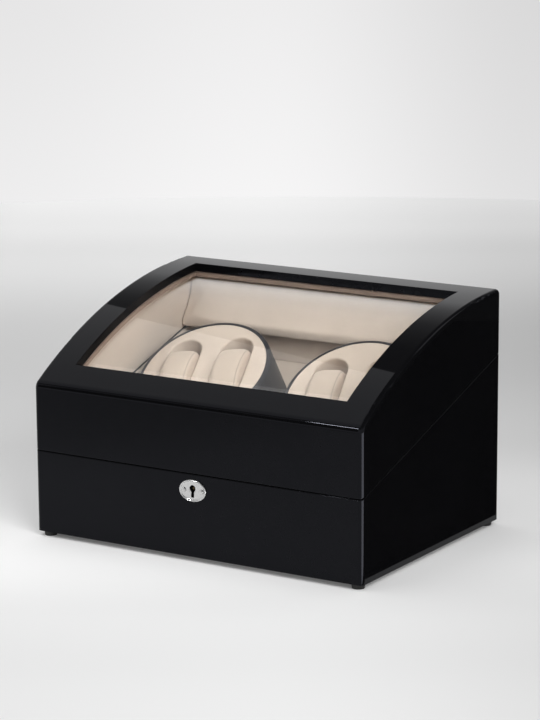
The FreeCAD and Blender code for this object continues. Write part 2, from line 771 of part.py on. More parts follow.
def build_deck():
    """Sloping panel that carries the drums, with its holes, and the two cleats under it."""
    back = f"({LINED_BACK} + size.lining)"
    panel = slab("deck_board", [
        (deck_front(FLOOR, DECK_UNDER), FLOOR), (f"({back} - size.lining_gap)",
                                                 deck_height(f"{back} - size.lining_gap", DECK_UNDER)),
        (f"({back} - size.lining_gap)", deck_height(f"{back} - size.lining_gap", DECK_DROP)),
        (deck_front(FLOOR, DECK_DROP), FLOOR),
    ], f"2 * ({INNER_X} - size.lining_gap)")
    holes = []
    for side, sign in SIDES.items():
        holes.append(rod(f"{side}_bush_hole", "size.bush_radius + size.fit_clearance",
                         f"2 * {DECK_UNDER}", (drum_x(sign), "0", f"-2 * {DECK_UNDER}")))
        for index, (across, along) in enumerate(post_places(sign)):
            holes.append(rod(f"{side}_stud_hole_{index}", "size.post_radius / 2 + size.fit_clearance",
                             "size.post_stud_length + size.fit_clearance",
                             (across, along, f"-{DECK_UNDER}")))
    node("deck_panel", cut("deck_cut", panel, [tilt(group("deck_holes", holes), "drum")]))
    under = f"({DECK_UNDER} + size.cleat_height)"
    front = deck_front(FLOOR, under)
    cleats = []
    for side, sign in SIDES.items():
        edge = f"({INNER_X} - size.cleat_width)" if sign == "1" else f"(-{INNER_X})"
        cleats.append(slab(f"{side}_cleat", [
            (front, deck_height(front, under)), (INNER_BACK, deck_height(INNER_BACK, under)),
            (INNER_BACK, deck_height(INNER_BACK, DECK_UNDER)), (front, deck_height(front, DECK_UNDER)),
        ], "size.cleat_width", edge, symmetric=False))
    node("deck_cleats", group("cleat_set", cleats))


def build_drum(side, sign):
    """Black cup with a rounded rim, the pocketed velvet face, two pillows, spindle and gear."""
    seat = "(size.face_radius + size.face_gap)"
    inside = "(size.drum_radius - size.drum_wall)"
    ledge = f"({seat} - size.ledge_width)"
    floor = "(-size.drum_height + size.drum_wall)"
    shelf = "(-size.face_thickness - size.face_gap)"
    bore = "(size.spindle_radius + size.running_clearance)"
    rim = "(size.drum_radius - size.drum_rim_radius)"
    cup = revolve(f"{side}_cup", [
        (bore, "(-size.drum_height)"),
        (rim, "(-size.drum_height)", "size.drum_rim_radius", 1),
        ("size.drum_radius", "(-size.drum_height + size.drum_rim_radius)"),
        ("size.drum_radius", "(-size.drum_rim_radius)", "size.drum_rim_radius", 1),
        (rim, "0"), (seat, "0"), (seat, shelf), (ledge, shelf),
        (ledge, f"({shelf} - size.ledge_height)"),
        (inside, f"({shelf} - size.ledge_height - size.ledge_width)"),
        (inside, floor), ("size.hub_radius", floor),
        ("size.hub_radius", f"({floor} + size.hub_height)"), (bore, f"({floor} + size.hub_height)"),
    ])
    place_drum_piece(f"{side}_drum_cup", cup, sign)
    face = doc.addObject("PartDesign::Body", f"{side}_face")
    disc = new_sketch(face, f"{side}_face_disc", "XY_Plane")
    disc.addGeometry(Part.Circle(vector(), vector(0, 0, 1), value("size.face_radius")))
    disc.addConstraint(Sketcher.Constraint("Coincident", 0, 3, -1, 1))
    hold(disc, "Radius", "size.face_radius", 0)
    add_feature(face, "Pad", disc, "size.face_thickness", reverse=True)
    straight = "(size.pocket_length - size.pocket_width) / 2"
    for grow, depth, kind in (("size.pocket_wall", "size.pocket_depth + size.pocket_wall", "Pad"),
                              ("0", "size.pocket_depth", "Pocket")):
        outline = new_sketch(face, f"{side}_tubs_{kind}", "XY_Plane", turn="size.drum_rest_angle")
        for offset in ("-size.pocket_spacing / 2", "size.pocket_spacing / 2"):
            draw_obround(outline, f"({offset})", f"(size.pocket_width / 2 + {grow})", f"({straight})")
        add_feature(face, kind, outline, depth, reverse=kind == "Pad")
    place_drum_piece(f"{side}_drum_face", face, sign)
    for place, step in SIDES.items():
        build_pillow(f"{side}_drum_{place}_pillow", sign, f"({step} * size.pocket_spacing / 2)")
    top = f"({floor} + size.hub_height)"
    bottom = f"({PLATE_UNDER} + size.plate_thickness)"
    node(f"{side}_spindle", rod(f"{side}_spindle_rod", "size.spindle_radius", f"{top} + {bottom}",
                                (drum_x(sign), "0", f"-{bottom}")), "drum")
    build_gears(side, sign)


def place_drum_piece(label, piece, sign):
    """Place a piece that is drawn about its own drum's axis."""
    node(label, piece, "drum")
    piece.setExpression(".Placement.Base.x", drum_x(sign))


def build_pillow(label, sign, offset):
    """Soft pillow lofted across its width, drawn in towards both sides."""
    body = doc.addObject("PartDesign::Body", f"{label}_body")
    half_width = "(size.pocket_width / 2 - size.pillow_side_gap)"
    sections = []
    for index, (share, inset) in enumerate(PILLOW_SECTIONS):
        draw = f"({inset} * size.pillow_draw_in)"
        half = f"(size.pillow_length / 2 - {draw})"
        low = "(size.pillow_floor_gap - size.pocket_depth)"
        crown_half = f"({half} - size.pillow_corner_reach)"
        sag = f"(size.pillow_crown_radius - sqrt(size.pillow_crown_radius^2 - {crown_half}^2))"
        crown_low = f"(size.pillow_rise - {draw} - {sag})"
        shoulder = f"({crown_low} - size.pillow_corner_drop)"
        sketch = new_sketch(body, f"{label}_{index}", "YZ_Plane", f"({share} * {half_width} + {offset})")
        draw_loop(sketch, [
            (f"(-{half})", low), (half, low),
            (half, shoulder, "size.pillow_corner", 1),
            (crown_half, crown_low, "size.pillow_crown_radius", 1),
            (f"(-{crown_half})", crown_low, "size.pillow_corner", 1),
            (f"(-{half})", shoulder),
        ])
        sections.append(sketch)
    loft = body.newObject("PartDesign::AdditiveLoft", f"{label}_loft")
    loft.Profile = sections[0]
    loft.Sections = sections[1:]
    loft.Ruled = False
    turned = doc.addObject("Part::Compound", f"{label}_turned")
    turned.Links = [body]
    body.Placement = FreeCAD.Placement(vector(), FreeCAD.Rotation(vector(0, 0, 1), 1))
    body.setExpression(".Placement.Rotation.Angle", "size.drum_rest_angle")
    place_drum_piece(label, turned, sign)


def tooth_half_angle(radius, pitch_radius, teeth):
    """Half the angle that an involute tooth fills at a radius."""
    pressure = math.radians(value("size.pressure_angle"))
    base_radius = pitch_radius * math.cos(pressure)
    here = math.acos(min(1, base_radius / max(radius, base_radius)))
    spread = math.tan(pressure) - pressure - math.tan(here) + here
    return (math.pi / 2 - value("size.backlash") / value("size.gear_module") / 2) / teeth + spread


def gear_shape(teeth, width, bore, first_tooth, hub_radius=None, hub_height=0):
    """Spur gear with involute teeth, its upper face at zero, and a hub below."""
    module = value("size.gear_module")
    pitch_radius = module * teeth / 2
    radii = [pitch_radius + level * module for level in TOOTH_LEVELS]
    points = []
    for tooth in range(teeth):
        centre = first_tooth + 2 * math.pi * tooth / teeth
        flank = [(radius, tooth_half_angle(radius, pitch_radius, teeth)) for radius in radii]
        for radius, angle in flank:
            points.append(vector(radius * math.cos(centre - angle), radius * math.sin(centre - angle), 0))
        for radius, angle in reversed(flank):
            points.append(vector(radius * math.cos(centre + angle), radius * math.sin(centre + angle), 0))
    rim = Part.Face(Part.makePolygon(points + points[:1]))
    solid = rim.extrude(vector(0, 0, -width))
    if hub_radius:
        solid = solid.fuse(Part.makeCylinder(hub_radius, hub_height, vector(0, 0, -width - hub_height)))
    height = width + hub_height
    if bore:
        solid = solid.cut(Part.makeCylinder(bore, 3 * height, vector(0, 0, -2 * height)))
    return solid


def build_gears(side, sign):
    """Drive gear on the spindle, and the pinion cut on the end of its motor shaft."""
    towards = math.pi if sign == "1" else 0
    clearance = value("size.running_clearance")
    width = value("size.gear_width")
    hub_height = value(f"{PLATE_TOP} - {GEAR_TOP} - size.gear_width - 2 * size.thrust_gap")
    gear = doc.addObject("Part::Feature", f"{side}_gear")
    gear.Shape = gear_shape(int(value("size.gear_teeth")), width, value("size.spindle_radius") + clearance,
                            towards, value("size.gear_hub_radius"), hub_height)
    gear.setExpression(".Placement.Base.x", drum_x(sign))
    gear.setExpression(".Placement.Base.z", f"-{GEAR_TOP}")
    node(f"{side}_drive_gear", group(f"{side}_gear_set", [gear]), "drum")
    teeth = int(value("size.pinion_teeth"))
    pinion = doc.addObject("Part::Feature", f"{side}_pinion_gear")
    pinion.Shape = gear_shape(teeth, width, 0, towards + math.pi + math.pi / teeth)
    pinion.setExpression(".Placement.Base.x", motor_x(sign))
    pinion.setExpression(".Placement.Base.z", f"-{GEAR_TOP}")
    shaft_end = f"({PLATE_UNDER} + size.gearbox_length / 2)"
    shaft = rod(f"{side}_shaft", "size.motor_shaft_radius", f"{shaft_end} - {GEAR_TOP}",
                (motor_x(sign), "0", f"-{shaft_end}"))
    node(f"{side}_motor_pinion", fuse(f"{side}_pinion_set", [pinion, shaft]), "drum")


def build_motor(side, sign):
    """Gear motor under its plate, with a bore for the shaft."""
    place = motor_x(sign)
    gearbox_low = f"-({PLATE_UNDER} + size.gearbox_length)"
    motor = fuse(f"{side}_motor_body", [
        rod(f"{side}_gearbox", "size.gearbox_radius", "size.gearbox_length", (place, "0", gearbox_low)),
        rod(f"{side}_can", "size.motor_radius", "size.motor_length",
            (place, "0", f"{gearbox_low} - size.motor_length")),
        rod(f"{side}_boss", "size.motor_boss_radius", "size.plate_thickness",
            (place, "0", f"-{PLATE_UNDER}")),
    ])
    bore = rod(f"{side}_motor_bore", "size.motor_shaft_radius + size.running_clearance",
               f"{PLATE_UNDER} + size.gearbox_length / 2 + size.thrust_gap",
               (place, "0", f"-({PLATE_UNDER} + size.gearbox_length / 2 + size.thrust_gap)"))
    return motor, bore


def build_drive():
    """Bushes, motor plates on posts, motors and their screws, all about the drums' slant."""
    bushes = []
    plates = []
    posts = []
    places = []
    flange = "(size.deck_gap - size.thrust_gap)"
    for side, sign in SIDES.items():
        for across, along in post_places(sign):
            places.append((across, along, f"-{PLATE_UNDER}", "up"))
        for along in ("-1", "1"):
            spot = f"{along} * size.motor_screw_spacing / 2"
            places.append((motor_x(sign), spot, f"-{PLATE_TOP}", "down"))
    placed_holes = screw_set("drive_screws", places, "up", "drum", flat=False)
    holes = group("drive_screw_room", placed_holes.Links)
    for side, sign in SIDES.items():
        centre = drum_x(sign)
        bore = rod(f"{side}_spindle_bore", "size.spindle_radius + size.running_clearance",
                   f"3 * {PLATE_UNDER}", (centre, "0", f"-2 * {PLATE_UNDER}"))
        bush = fuse(f"{side}_bush_body", [
            rod(f"{side}_bush_barrel", "size.bush_radius", "size.deck_thickness",
                (centre, "0", f"-{DECK_UNDER}")),
            rod(f"{side}_bush_flange", "size.bush_flange_radius", flange, (centre, "0", f"-{DECK_DROP}")),
        ])
        bushes.append(cut(f"{side}_bush", bush, [bore]))
        lower = rod(f"{side}_lower_barrel", "size.lower_bush_radius",
                    "size.plate_thickness + size.thrust_gap", (centre, "0", f"-{PLATE_UNDER}"))
        bushes.append(cut(f"{side}_lower_bush", lower, [bore]))
        board = block(f"{side}_plate_board", middle("size.plate_length", plate_x(sign)),
                      middle("size.plate_width"), (f"-{PLATE_UNDER}", f"-{PLATE_TOP}"))
        openings = [
            rod(f"{side}_lower_hole", "size.lower_bush_radius + size.fit_clearance", f"2 * {PLATE_UNDER}",
                (centre, "0", f"-2 * {PLATE_UNDER}")),
            rod(f"{side}_boss_hole", "size.motor_boss_radius + size.fit_clearance", f"2 * {PLATE_UNDER}",
                (motor_x(sign), "0", f"-2 * {PLATE_UNDER}")),
        ]
        plates.append(cut(f"{side}_plate", board, openings + [holes]))
        for index, (across, along) in enumerate(post_places(sign)):
            post = fuse(f"{side}_post_{index}", [
                rod(f"{side}_post_body_{index}", "size.post_radius", "size.post_length",
                    (across, along, f"-{PLATE_TOP}")),
                rod(f"{side}_post_stud_{index}", "size.post_radius / 2", "size.post_stud_length",
                    (across, along, f"-{DECK_UNDER}")),
            ])
            posts.append(cut(f"{side}_post_cut_{index}", post, [holes]))
        motor, shaft_bore = build_motor(side, sign)
        node(f"{side}_motor", cut(f"{side}_motor_cut", motor, [shaft_bore, holes]), "drum")
    node("drum_bushes", group("bush_set", bushes), "drum")
    node("motor_plates", group("plate_set", plates), "drum")
    node("motor_posts", group("post_set", posts), "drum")


def build_leads():
    """Lead from each motor's end: straight, then one bend to the circuit board."""
    slant = math.radians(value("size.drum_tilt"))
    reach = f"({PLATE_UNDER} + size.gearbox_length + size.motor_length)"
    straight = value("size.lead_straight")
    radius = value("size.lead_radius")
    out = vector(0, math.sin(slant), -math.cos(slant))
    face = vector(0, value(DRUM_Y), value("size.drum_face_height"))
    start = face + out * (value(reach) - radius)
    bend_start = face + out * (value(reach) + straight)
    end = vector(0, value(BOARD_Y), value("size.control_level - size.lead_drop"))
    chord = end - bend_start
    half_turn = out.getAngle(chord)
    sideways = (chord * (1 / chord.Length) - out * math.cos(half_turn)).normalize()
    bend = chord.Length / (2 * math.sin(half_turn))
    centre = bend_start + sideways * bend
    bend_middle = centre + ((bend_start + end) * 0.5 - centre).normalize() * bend
    board = block("lead_board_room", middle("size.board_width"),
                  (f"{BOARD_Y} - size.board_thickness", f"{BOARD_Y} + size.board_thickness"),
                  middle("size.board_height", "size.control_level"))
    leads = []
    for side, sign in SIDES.items():
        across = vector(value(motor_x(sign)), 0, 0)
        path = Part.Wire([Part.LineSegment(start + across, bend_start + across).toShape(),
                          Part.Arc(bend_start + across, bend_middle + across, end + across).toShape()])
        section = Part.Wire([Part.Circle(start + across, out, radius).toShape()])
        tube = doc.addObject("Part::Feature", f"{side}_lead_tube")
        tube.Shape = path.makePipeShell([section], True, False)
        print(f"{side} lead bend radius {bend:.1f}, volume share",
              round(tube.Shape.Volume / (math.pi * radius ** 2 * path.Length), 3))
        can = rod(f"{side}_lead_can_room", "size.motor_radius", "size.motor_length",
                  (motor_x(sign), "0", f"-{reach}"))
        can_room = tilt(group(f"{side}_lead_can", [can]), "drum")
        leads.append(cut(f"{side}_lead", tube, [can_room, board]))
    node("motor_leads", group("lead_set", leads))


# Hinges, lock and rest pads, drawn along the sloping cut
def hinge_leaf(name, centre, level, knuckles):
    """One hinge leaf: a plate let into the wood, with its knuckles about the pin."""
    clear = "(size.knuckle_radius + size.knuckle_gap)"
    start = f"({centre} - size.hinge_length / 2)"
    pieces = [block(f"{name}_plate", middle("size.hinge_length", centre),
                    ("-size.leaf_reach", f"-{clear}"), level)]
    for index, (first, last) in enumerate(knuckles):
        pieces.append(block(f"{name}_tongue_{index}", (f"{start} + {first}", f"{start} + {last}"),
                            (f"-{clear}", "0"), level))
        pieces.append(rod(f"{name}_knuckle_{index}", "size.knuckle_radius", f"{last} - {first}",
                          (f"{start} + {first}", "0", "0"), "x"))
    bore = rod(f"{name}_bore", "size.pin_radius + size.running_clearance", "2 * size.hinge_length",
               (f"{centre} - size.hinge_length", "0", "0"), "x")
    return cut(name, fuse(f"{name}_joined", pieces), [bore])


def build_hinges():
    """Two butt hinges between base and lid; returns what each has to be cut with."""
    length = "size.hinge_length"
    short = "size.knuckle_length"
    inner = "(size.knuckle_length + size.knuckle_gap)"
    ends = [("0", short), (f"({length} - {short})", length)]
    centre_knuckle = [(inner, f"({length} - {inner})")]
    levels = {
        "base": (f"-{HALF_GAP} - size.leaf_thickness", f"-{HALF_GAP}"),
        "lid": (HALF_GAP, f"{HALF_GAP} + size.leaf_thickness"),
    }
    wood_cuts = {}
    for part, knuckles, pointing in (("base", ends, "down"), ("lid", centre_knuckle, "up")):
        face = f"-{HALF_GAP}" if part == "base" else HALF_GAP
        places = [(f"{hinge} * size.hinge_spacing / 2 + {end} * size.hinge_screw_spacing / 2",
                   "-size.hinge_screw_setback", face) for hinge in ("-1", "1") for end in ("-1", "1")]
        holes = screw_set(f"hinge_{part}_screws", places, pointing, "split",
                          head="size.hinge_screw_head")
        leaves = []
        seats = []
        for index, hinge in enumerate(("-1", "1")):
            centre = f"({hinge} * size.hinge_spacing / 2)"
            leaf = hinge_leaf(f"{part}_leaf_{index}", centre, levels[part], knuckles)
            flat_holes = group(f"{part}_leaf_holes_{index}", holes.Links)
            leaves.append(cut(f"{part}_leaf_cut_{index}", leaf, [flat_holes]))
            room = "size.fit_clearance"
            low, high = levels[part]
            seats.append(block(f"{part}_seat_{index}", middle(f"{length} + 2 * {room}", centre),
                               (f"-size.leaf_reach - {room}", "size.pin_offset"),
                               (f"{low} - {room}", f"{high} + {room}")))
        node(f"hinge_{part}_leaves", group(f"{part}_leaf_set", leaves), "split")
        wood_cuts[part] = [holes, tilt(group(f"{part}_seats", seats), "split")]
    pins = [rod(f"hinge_pin_{index}", "size.pin_radius", length,
                (f"{hinge} * size.hinge_spacing / 2 - {length} / 2", "0", "0"), "x")
            for index, hinge in enumerate(("-1", "1"))]
    node("hinge_pins", group("pin_set", pins), "split")
    return wood_cuts


def build_rest_pads():
    """Thin pads on the edge of the base that the lid comes down on."""
    pads = []
    across = f"({HALF_WIDTH} - size.rest_pad_inset)"
    for side, sign in SIDES.items():
        for index, depth in enumerate(("size.rest_pad_setback", "size.case_depth / 2")):
            pads.append(rod(f"{side}_pad_{index}", "size.rest_pad_radius",
                            f"2 * {HALF_GAP} - size.rest_pad_gap",
                            (f"{sign} * {across}", split_along(depth), f"-{HALF_GAP}")))
    node("lid_rest_pads", group("pad_set", pads), "split")


def build_lock():
    """Box lock with a sideways bolt, and the strike plate whose staple the bolt passes through."""
    half_bolt = "(size.bolt_nose / 2)"
    half_tail = "(size.bolt_tail / 2)"
    half_staple = "(size.staple_thickness / 2)"
    clear = "size.bolt_clearance"
    nose_end = f"(-{half_staple} - 2 * {clear})"
    nose_start = f"({nose_end} - size.bolt_nose_length)"
    tail_start = f"({nose_start} - size.bolt_tail_length)"
    bolt_y = STAPLE_Y
    bolt_z = "-size.bolt_depth"

    def around(centre, half, extra="0"):
        return f"{centre} - {half} - {extra}", f"{centre} + {half} + {extra}"

    talon_low = f"{bolt_z} - {half_tail} - size.bolt_talon_length"
    node("lock_bolt", fuse("bolt_body", [
        block("bolt_nose", (nose_start, nose_end), around(bolt_y, half_bolt), around(bolt_z, half_bolt)),
        block("bolt_tail", (tail_start, nose_start), around(bolt_y, half_tail), around(bolt_z, half_tail)),
        block("bolt_talon", (f"{tail_start} + size.bolt_tail", nose_start), around(bolt_y, half_bolt),
              (talon_low, f"{bolt_z}")),
    ]), "split")
    room = [
        block("nose_way", (nose_start, f"{nose_end} + size.bolt_travel + {clear}"),
              around(bolt_y, half_bolt, clear), around(bolt_z, half_bolt, clear)),
        block("tail_way", (f"{tail_start} - {clear}", f"{nose_start} + size.bolt_travel + {clear}"),
              around(bolt_y, half_tail, clear), around(bolt_z, half_tail, clear)),
        block("talon_way", (f"{tail_start} + size.bolt_tail - {clear}",
                            f"{nose_start} + size.bolt_travel + {clear}"),
              around(bolt_y, half_bolt, clear), (f"{talon_low} - {clear}", bolt_z)),
        block("staple_way", around("0", half_staple, clear),
              around(STAPLE_Y, "size.staple_width / 2", f"2 * {clear}"),
              (f"-size.staple_length - {clear}", "size.lock_height")),
    ]
    back = "(size.lock_setback + size.lock_thickness)"
    skin = "size.leaf_thickness"
    body = cut("lock_body", block("lock_block", middle("size.lock_width"), ("size.lock_setback", back),
                                  (f"{LOCK_TOP} - size.lock_height", LOCK_TOP)),
               [tilt(group("lock_room_set", room), "split"),
                rod("key_room", "size.lock_cavity_radius", f"size.lock_thickness - 2 * {skin}",
                    ("0", f"size.lock_setback + {skin}", KEY_Z), "y"),
                keyhole("lock_keyhole", "0", back, f"{back} - {skin}")])
    node("lock_case", fuse("lock_whole", [
        body, rod("drill_pin", "size.drill_pin_radius", f"{back} - size.escutcheon_floor",
                  ("0", "size.escutcheon_floor", KEY_Z), "y")]))
    strike_low, strike_high = HALF_GAP, f"{HALF_GAP} + size.strike_thickness"
    places = [(f"{end} * size.strike_screw_spacing / 2", STAPLE_Y, HALF_GAP) for end in ("-1", "1")]
    holes = screw_set("strike_screws", places, "up", "split")
    plate = block("strike_board", middle("size.strike_length"), middle("size.strike_width", STAPLE_Y),
                  (strike_low, strike_high))
    staple = block("staple_tab", around("0", half_staple), around(STAPLE_Y, "size.staple_width / 2"),
                   ("-size.staple_length", strike_high))
    eye = block("staple_eye", ("-size.strike_length", "size.strike_length"),
                around(bolt_y, half_bolt, clear), around(bolt_z, half_bolt, clear))
    node("strike_plate", cut("strike_cut", fuse("strike_joined", [plate, staple]),
                             [eye, group("strike_flat_holes", holes.Links)]), "split")
    fit = "size.fit_clearance"
    seat = block("strike_seat", middle(f"size.strike_length + 2 * {fit}"),
                 middle(f"size.strike_width + 2 * {fit}", STAPLE_Y),
                 ("-size.staple_length", f"{strike_high} + {fit}"))
    mortise = block("lock_mortise", middle(f"size.lock_width + 2 * {fit}"),
                    (f"size.lock_setback - {fit}", "2 * size.wall"),
                    (f"{LOCK_TOP} - size.lock_height - {fit}", "size.base_back_height"))
    wood_keyhole = keyhole("wood_keyhole", fit, "size.lock_setback + size.wall", "-size.wall")
    return [mortise, wood_keyhole], [holes, tilt(group("strike_seats", [seat]), "split")]


def keyhole(name, room, back, front):
    """Round hole over a narrow slot, between two distances from the front face."""
    radius = f"(size.keyhole_radius + {room})"
    return fuse(name, [
        rod(f"{name}_round", radius, f"{back} - ({front})", ("0", front, KEY_Z), "y"),
        block(f"{name}_slot", middle(f"size.keyhole_slot + 2 * {room}"), (front, back),
              (f"{KEY_Z} - size.keyhole_length - {room}", KEY_Z)),
    ])


def oval(name, inset, low, high):
    """Oval slab standing out from the front face between two distances."""
    ellipse = doc.addObject("Part::Ellipse", f"{name}_outline")
    bind(ellipse, MajorRadius=f"size.escutcheon_width / 2 - {inset}",
         MinorRadius=f"size.escutcheon_height / 2 - {inset}")
    solid = doc.addObject("Part::Extrusion", f"{name}_slab")
    solid.Base = ellipse
    solid.DirMode = "Custom"
    solid.Dir = vector(0, 0, 1)
    solid.Solid = True
    bind(solid, LengthFwd=f"{high} - {low}")
    solid.Placement = FreeCAD.Placement(vector(), FreeCAD.Rotation(vector(1, 0, 0), 90))
    solid.setExpression(".Placement.Base.y", f"-({low})")
    solid.setExpression(".Placement.Base.z", LOCK_Z)
    return solid


def build_escutcheon():
    """Oval key plate with a raised rim, fixed by two round-headed screws."""
    rim = oval("escutcheon", "0", "0", "size.escutcheon_thickness")
    dish = oval("escutcheon_dish", "size.escutcheon_rim", "size.escutcheon_floor",
                "size.escutcheon_thickness")
    places = [(f"{end} * size.escutcheon_screw_spacing / 2", "-size.escutcheon_floor", LOCK_Z)
              for end in ("-1", "1")]
    holes = screw_set("escutcheon_screws", places, "back", flat=False, head="size.escutcheon_screw_head",
                      length="size.escutcheon_screw_length")
    hole = keyhole("plate_keyhole", "0", "size.wall", "-2 * size.escutcheon_thickness")
    node("escutcheon", cut("escutcheon_cut", rim, [dish, hole, holes]))
    return holes


# Rear controls
def build_controls():
    """Plate in the back wall with a power inlet, a rocker switch and two mode knobs."""
    level = "size.control_level"
    half_height = "(size.control_height / 2 - size.control_screw_inset)"
    half_width = "(size.control_width / 2 - size.control_screw_inset)"
    places = [(f"{across} * {half_width}", "size.case_depth", f"{level} + {along} * {half_height}")
              for across, along in FOUR_CORNERS]
    plate_holes = screw_set("control_plate_screws", places, "front", flat=True)
    board = block("control_board_blank", middle("size.control_width"), (PLATE_INNER_Y, "size.case_depth"),
                  middle("size.control_height", level))
    openings = [plate_holes]
    knob_x = {side: f"({sign} * size.knob_spacing / 2)" for side, sign in SIDES.items()}
    fit = "size.fit_clearance"
    switches = []
    stem_room = "size.running_clearance"
    for side, centre in knob_x.items():
        openings.append(rod(f"{side}_neck_hole", f"size.switch_neck_radius + {fit}", "size.wall",
                            (centre, INNER_BACK, level), "y"))
        neck = rod(f"{side}_neck", "size.switch_neck_radius", "size.control_thickness",
                   (centre, PLATE_INNER_Y, level), "y")
        housing = block(f"{side}_switch_box", middle("size.switch_body", centre), (BOARD_Y, PLATE_INNER_Y),
                        middle("size.switch_body", level))
        bore = rod(f"{side}_stem_bore", f"size.knob_stem_radius + {stem_room}", "size.wall",
                   (centre, f"{INNER_BACK} + {fit}", level), "y")
        switches.append(cut(f"{side}_switch", fuse(f"{side}_switch_body", [neck, housing]), [bore]))
        build_knob(side, centre)
    node("mode_switches", group("switch_set", switches))
    openings += build_jack() + build_rocker()
    node("control_plate", cut("control_plate_cut", board, openings))
    node("control_board", block("circuit_board", middle("size.board_width"),
                                (f"{BOARD_Y} - size.board_thickness", BOARD_Y),
                                middle("size.board_height", level)))
    seat = block("control_seat", middle(f"size.control_width + 2 * {fit}"),
                 (PLATE_INNER_Y, "size.case_depth + size.wall"),
                 middle(f"size.control_height + 2 * {fit}", level))
    window = block("control_window", middle("size.control_width - 2 * size.control_border"),
                   ("size.case_depth / 2", "size.case_depth + size.wall"),
                   middle("size.control_height - size.control_border", level))
    return [plate_holes, seat, window]


def build_knob(side, centre):
    """Round mode knob with a pointer groove and a stem that turns in its switch."""
    face = "size.case_depth + size.knob_gap"
    level = "size.control_level"
    end_gap = "2 * size.fit_clearance"
    body = fuse(f"{side}_knob_body", [
        rod(f"{side}_knob_cap", "size.knob_radius", "size.knob_height", (centre, face, level), "y"),
        rod(f"{side}_knob_stem", "size.knob_stem_radius", f"size.wall + size.knob_gap - {end_gap}",
            (centre, f"{INNER_BACK} + {end_gap}", level), "y"),
    ])
    groove = block(f"{side}_knob_groove", middle("size.knob_groove_width", centre),
                   (f"{face} + size.knob_height - size.knob_groove_depth", "size.case_depth + size.wall"),
                   (level, f"{level} + size.knob_radius"))
    node(f"{side}_mode_knob", cut(f"{side}_knob_cut", body, [groove]))


def build_jack():
    """Power inlet: a socket with a centre pin; returns the hole for it."""
    centre = "size.jack_place"
    level = "size.control_level"
    body = fuse("jack_body", [
        rod("jack_barrel", "size.jack_radius", f"size.case_depth - {BOARD_Y}",
            (centre, BOARD_Y, level), "y"),
        rod("jack_rim", "size.jack_lip_radius", "size.jack_lip", (centre, "size.case_depth", level), "y"),
    ])
    mouth = "size.case_depth + size.jack_lip - size.jack_bore_depth"
    bore = rod("jack_bore", "size.jack_bore_radius", "size.jack_bore_depth", (centre, mouth, level), "y")
    pin = rod("jack_pin", "size.jack_pin_radius", "size.jack_bore_depth - size.jack_lip",
              (centre, mouth, level), "y")
    node("power_inlet", fuse("jack_whole", [cut("jack_socket", body, [bore]), pin]))
    return [rod("jack_hole", "size.jack_radius + size.fit_clearance", "size.wall",
                (centre, INNER_BACK, level), "y")]


def build_rocker():
    """Rocker switch that tips about a level pivot in its housing; returns the hole for it."""
    centre = "(-size.rocker_place)"
    level = "size.control_level"
    room = "size.rocker_gap"
    inner_width = f"(size.rocker_width + 2 * {room})"
    inner_height = f"(size.rocker_length + 2 * {room})"
    outer_width = f"({inner_width} + 2 * size.rocker_frame)"
    outer_height = f"({inner_height} + 2 * size.rocker_frame)"
    lip_y = "size.case_depth + size.rocker_lip"
    frame = fuse("rocker_frame_body", [
        block("rocker_box", middle(outer_width, centre), (BOARD_Y, "size.case_depth"),
              middle(outer_height, level)),
        block("rocker_lip_frame", middle(f"{outer_width} + 2 * size.rocker_lip", centre),
              ("size.case_depth", lip_y), middle(f"{outer_height} + 2 * size.rocker_lip", level)),
    ])
    well = block("rocker_well", middle(inner_width, centre),
                 (f"{BOARD_Y} + size.rocker_frame", "size.case_depth + size.wall"),
                 middle(inner_height, level))
    pivot_y = "(size.case_depth - size.rocker_height / 2)"
    pivot_hole = rod("rocker_pivot_hole", "size.rocker_frame / 2 + size.running_clearance",
                     f"{inner_width} + size.rocker_frame",
                     (f"{centre} - ({inner_width} + size.rocker_frame) / 2", pivot_y, level), "x")
    node("rocker_housing", cut("rocker_housing_cut", frame, [well, pivot_hole]))
    half = "(size.rocker_length / 2)"
    front = "(size.rocker_height / 2 + size.rocker_lip)"
    end_front = f"({front} + {half} * tan(size.rocker_angle))"
    low = "(-size.rocker_height / 2)"

    def tipped(out, up):
        """Point of the rocker, from its pivot, with the upper end out."""
        turn = "size.rocker_angle"
        return (f"({pivot_y} + {out} * cos({turn}) + {up} * sin({turn}))",
                f"({level} + {up} * cos({turn}) - {out} * sin({turn}))")

    tip = slab("rocker_body", [
        tipped(low, f"(-{half} / 2)"), tipped(end_front, f"(-{half})"), tipped(front, "0"),
        tipped(end_front, half), tipped(low, f"({half} / 2)"),
    ], "size.rocker_width", f"{centre} - size.rocker_width / 2", symmetric=False)
    pin = rod("rocker_pin", "size.rocker_frame / 2", f"{inner_width} + size.rocker_frame / 2",
              (f"{centre} - ({inner_width} + size.rocker_frame / 2) / 2", pivot_y, level), "x")
    node("power_rocker", fuse("rocker_whole", [tip, pin]))
    fit = "size.fit_clearance"
    return [block("rocker_hole", middle(f"{outer_width} + 2 * {fit}", centre),
                  (INNER_BACK, "size.case_depth + size.wall"),
                  middle(f"{outer_height} + 2 * {fit}", level))]


# The whole assembly
def build_all():
    bottom_holes = build_bottom()
    hinge_cuts = build_hinges()
    base_lock_cuts, lid_lock_cuts = build_lock()
    escutcheon_holes = build_escutcheon()
    control_cuts = build_controls()
    build_base_case(bottom_holes + hinge_cuts["base"] + base_lock_cuts + [escutcheon_holes] + control_cuts)
    build_lid_frame(hinge_cuts["lid"] + lid_lock_cuts)
    build_glass()
    build_linings()
    build_deck()
    for side, sign in SIDES.items():
        build_drum(side, sign)
    build_drive()
    build_leads()
    build_rest_pads()


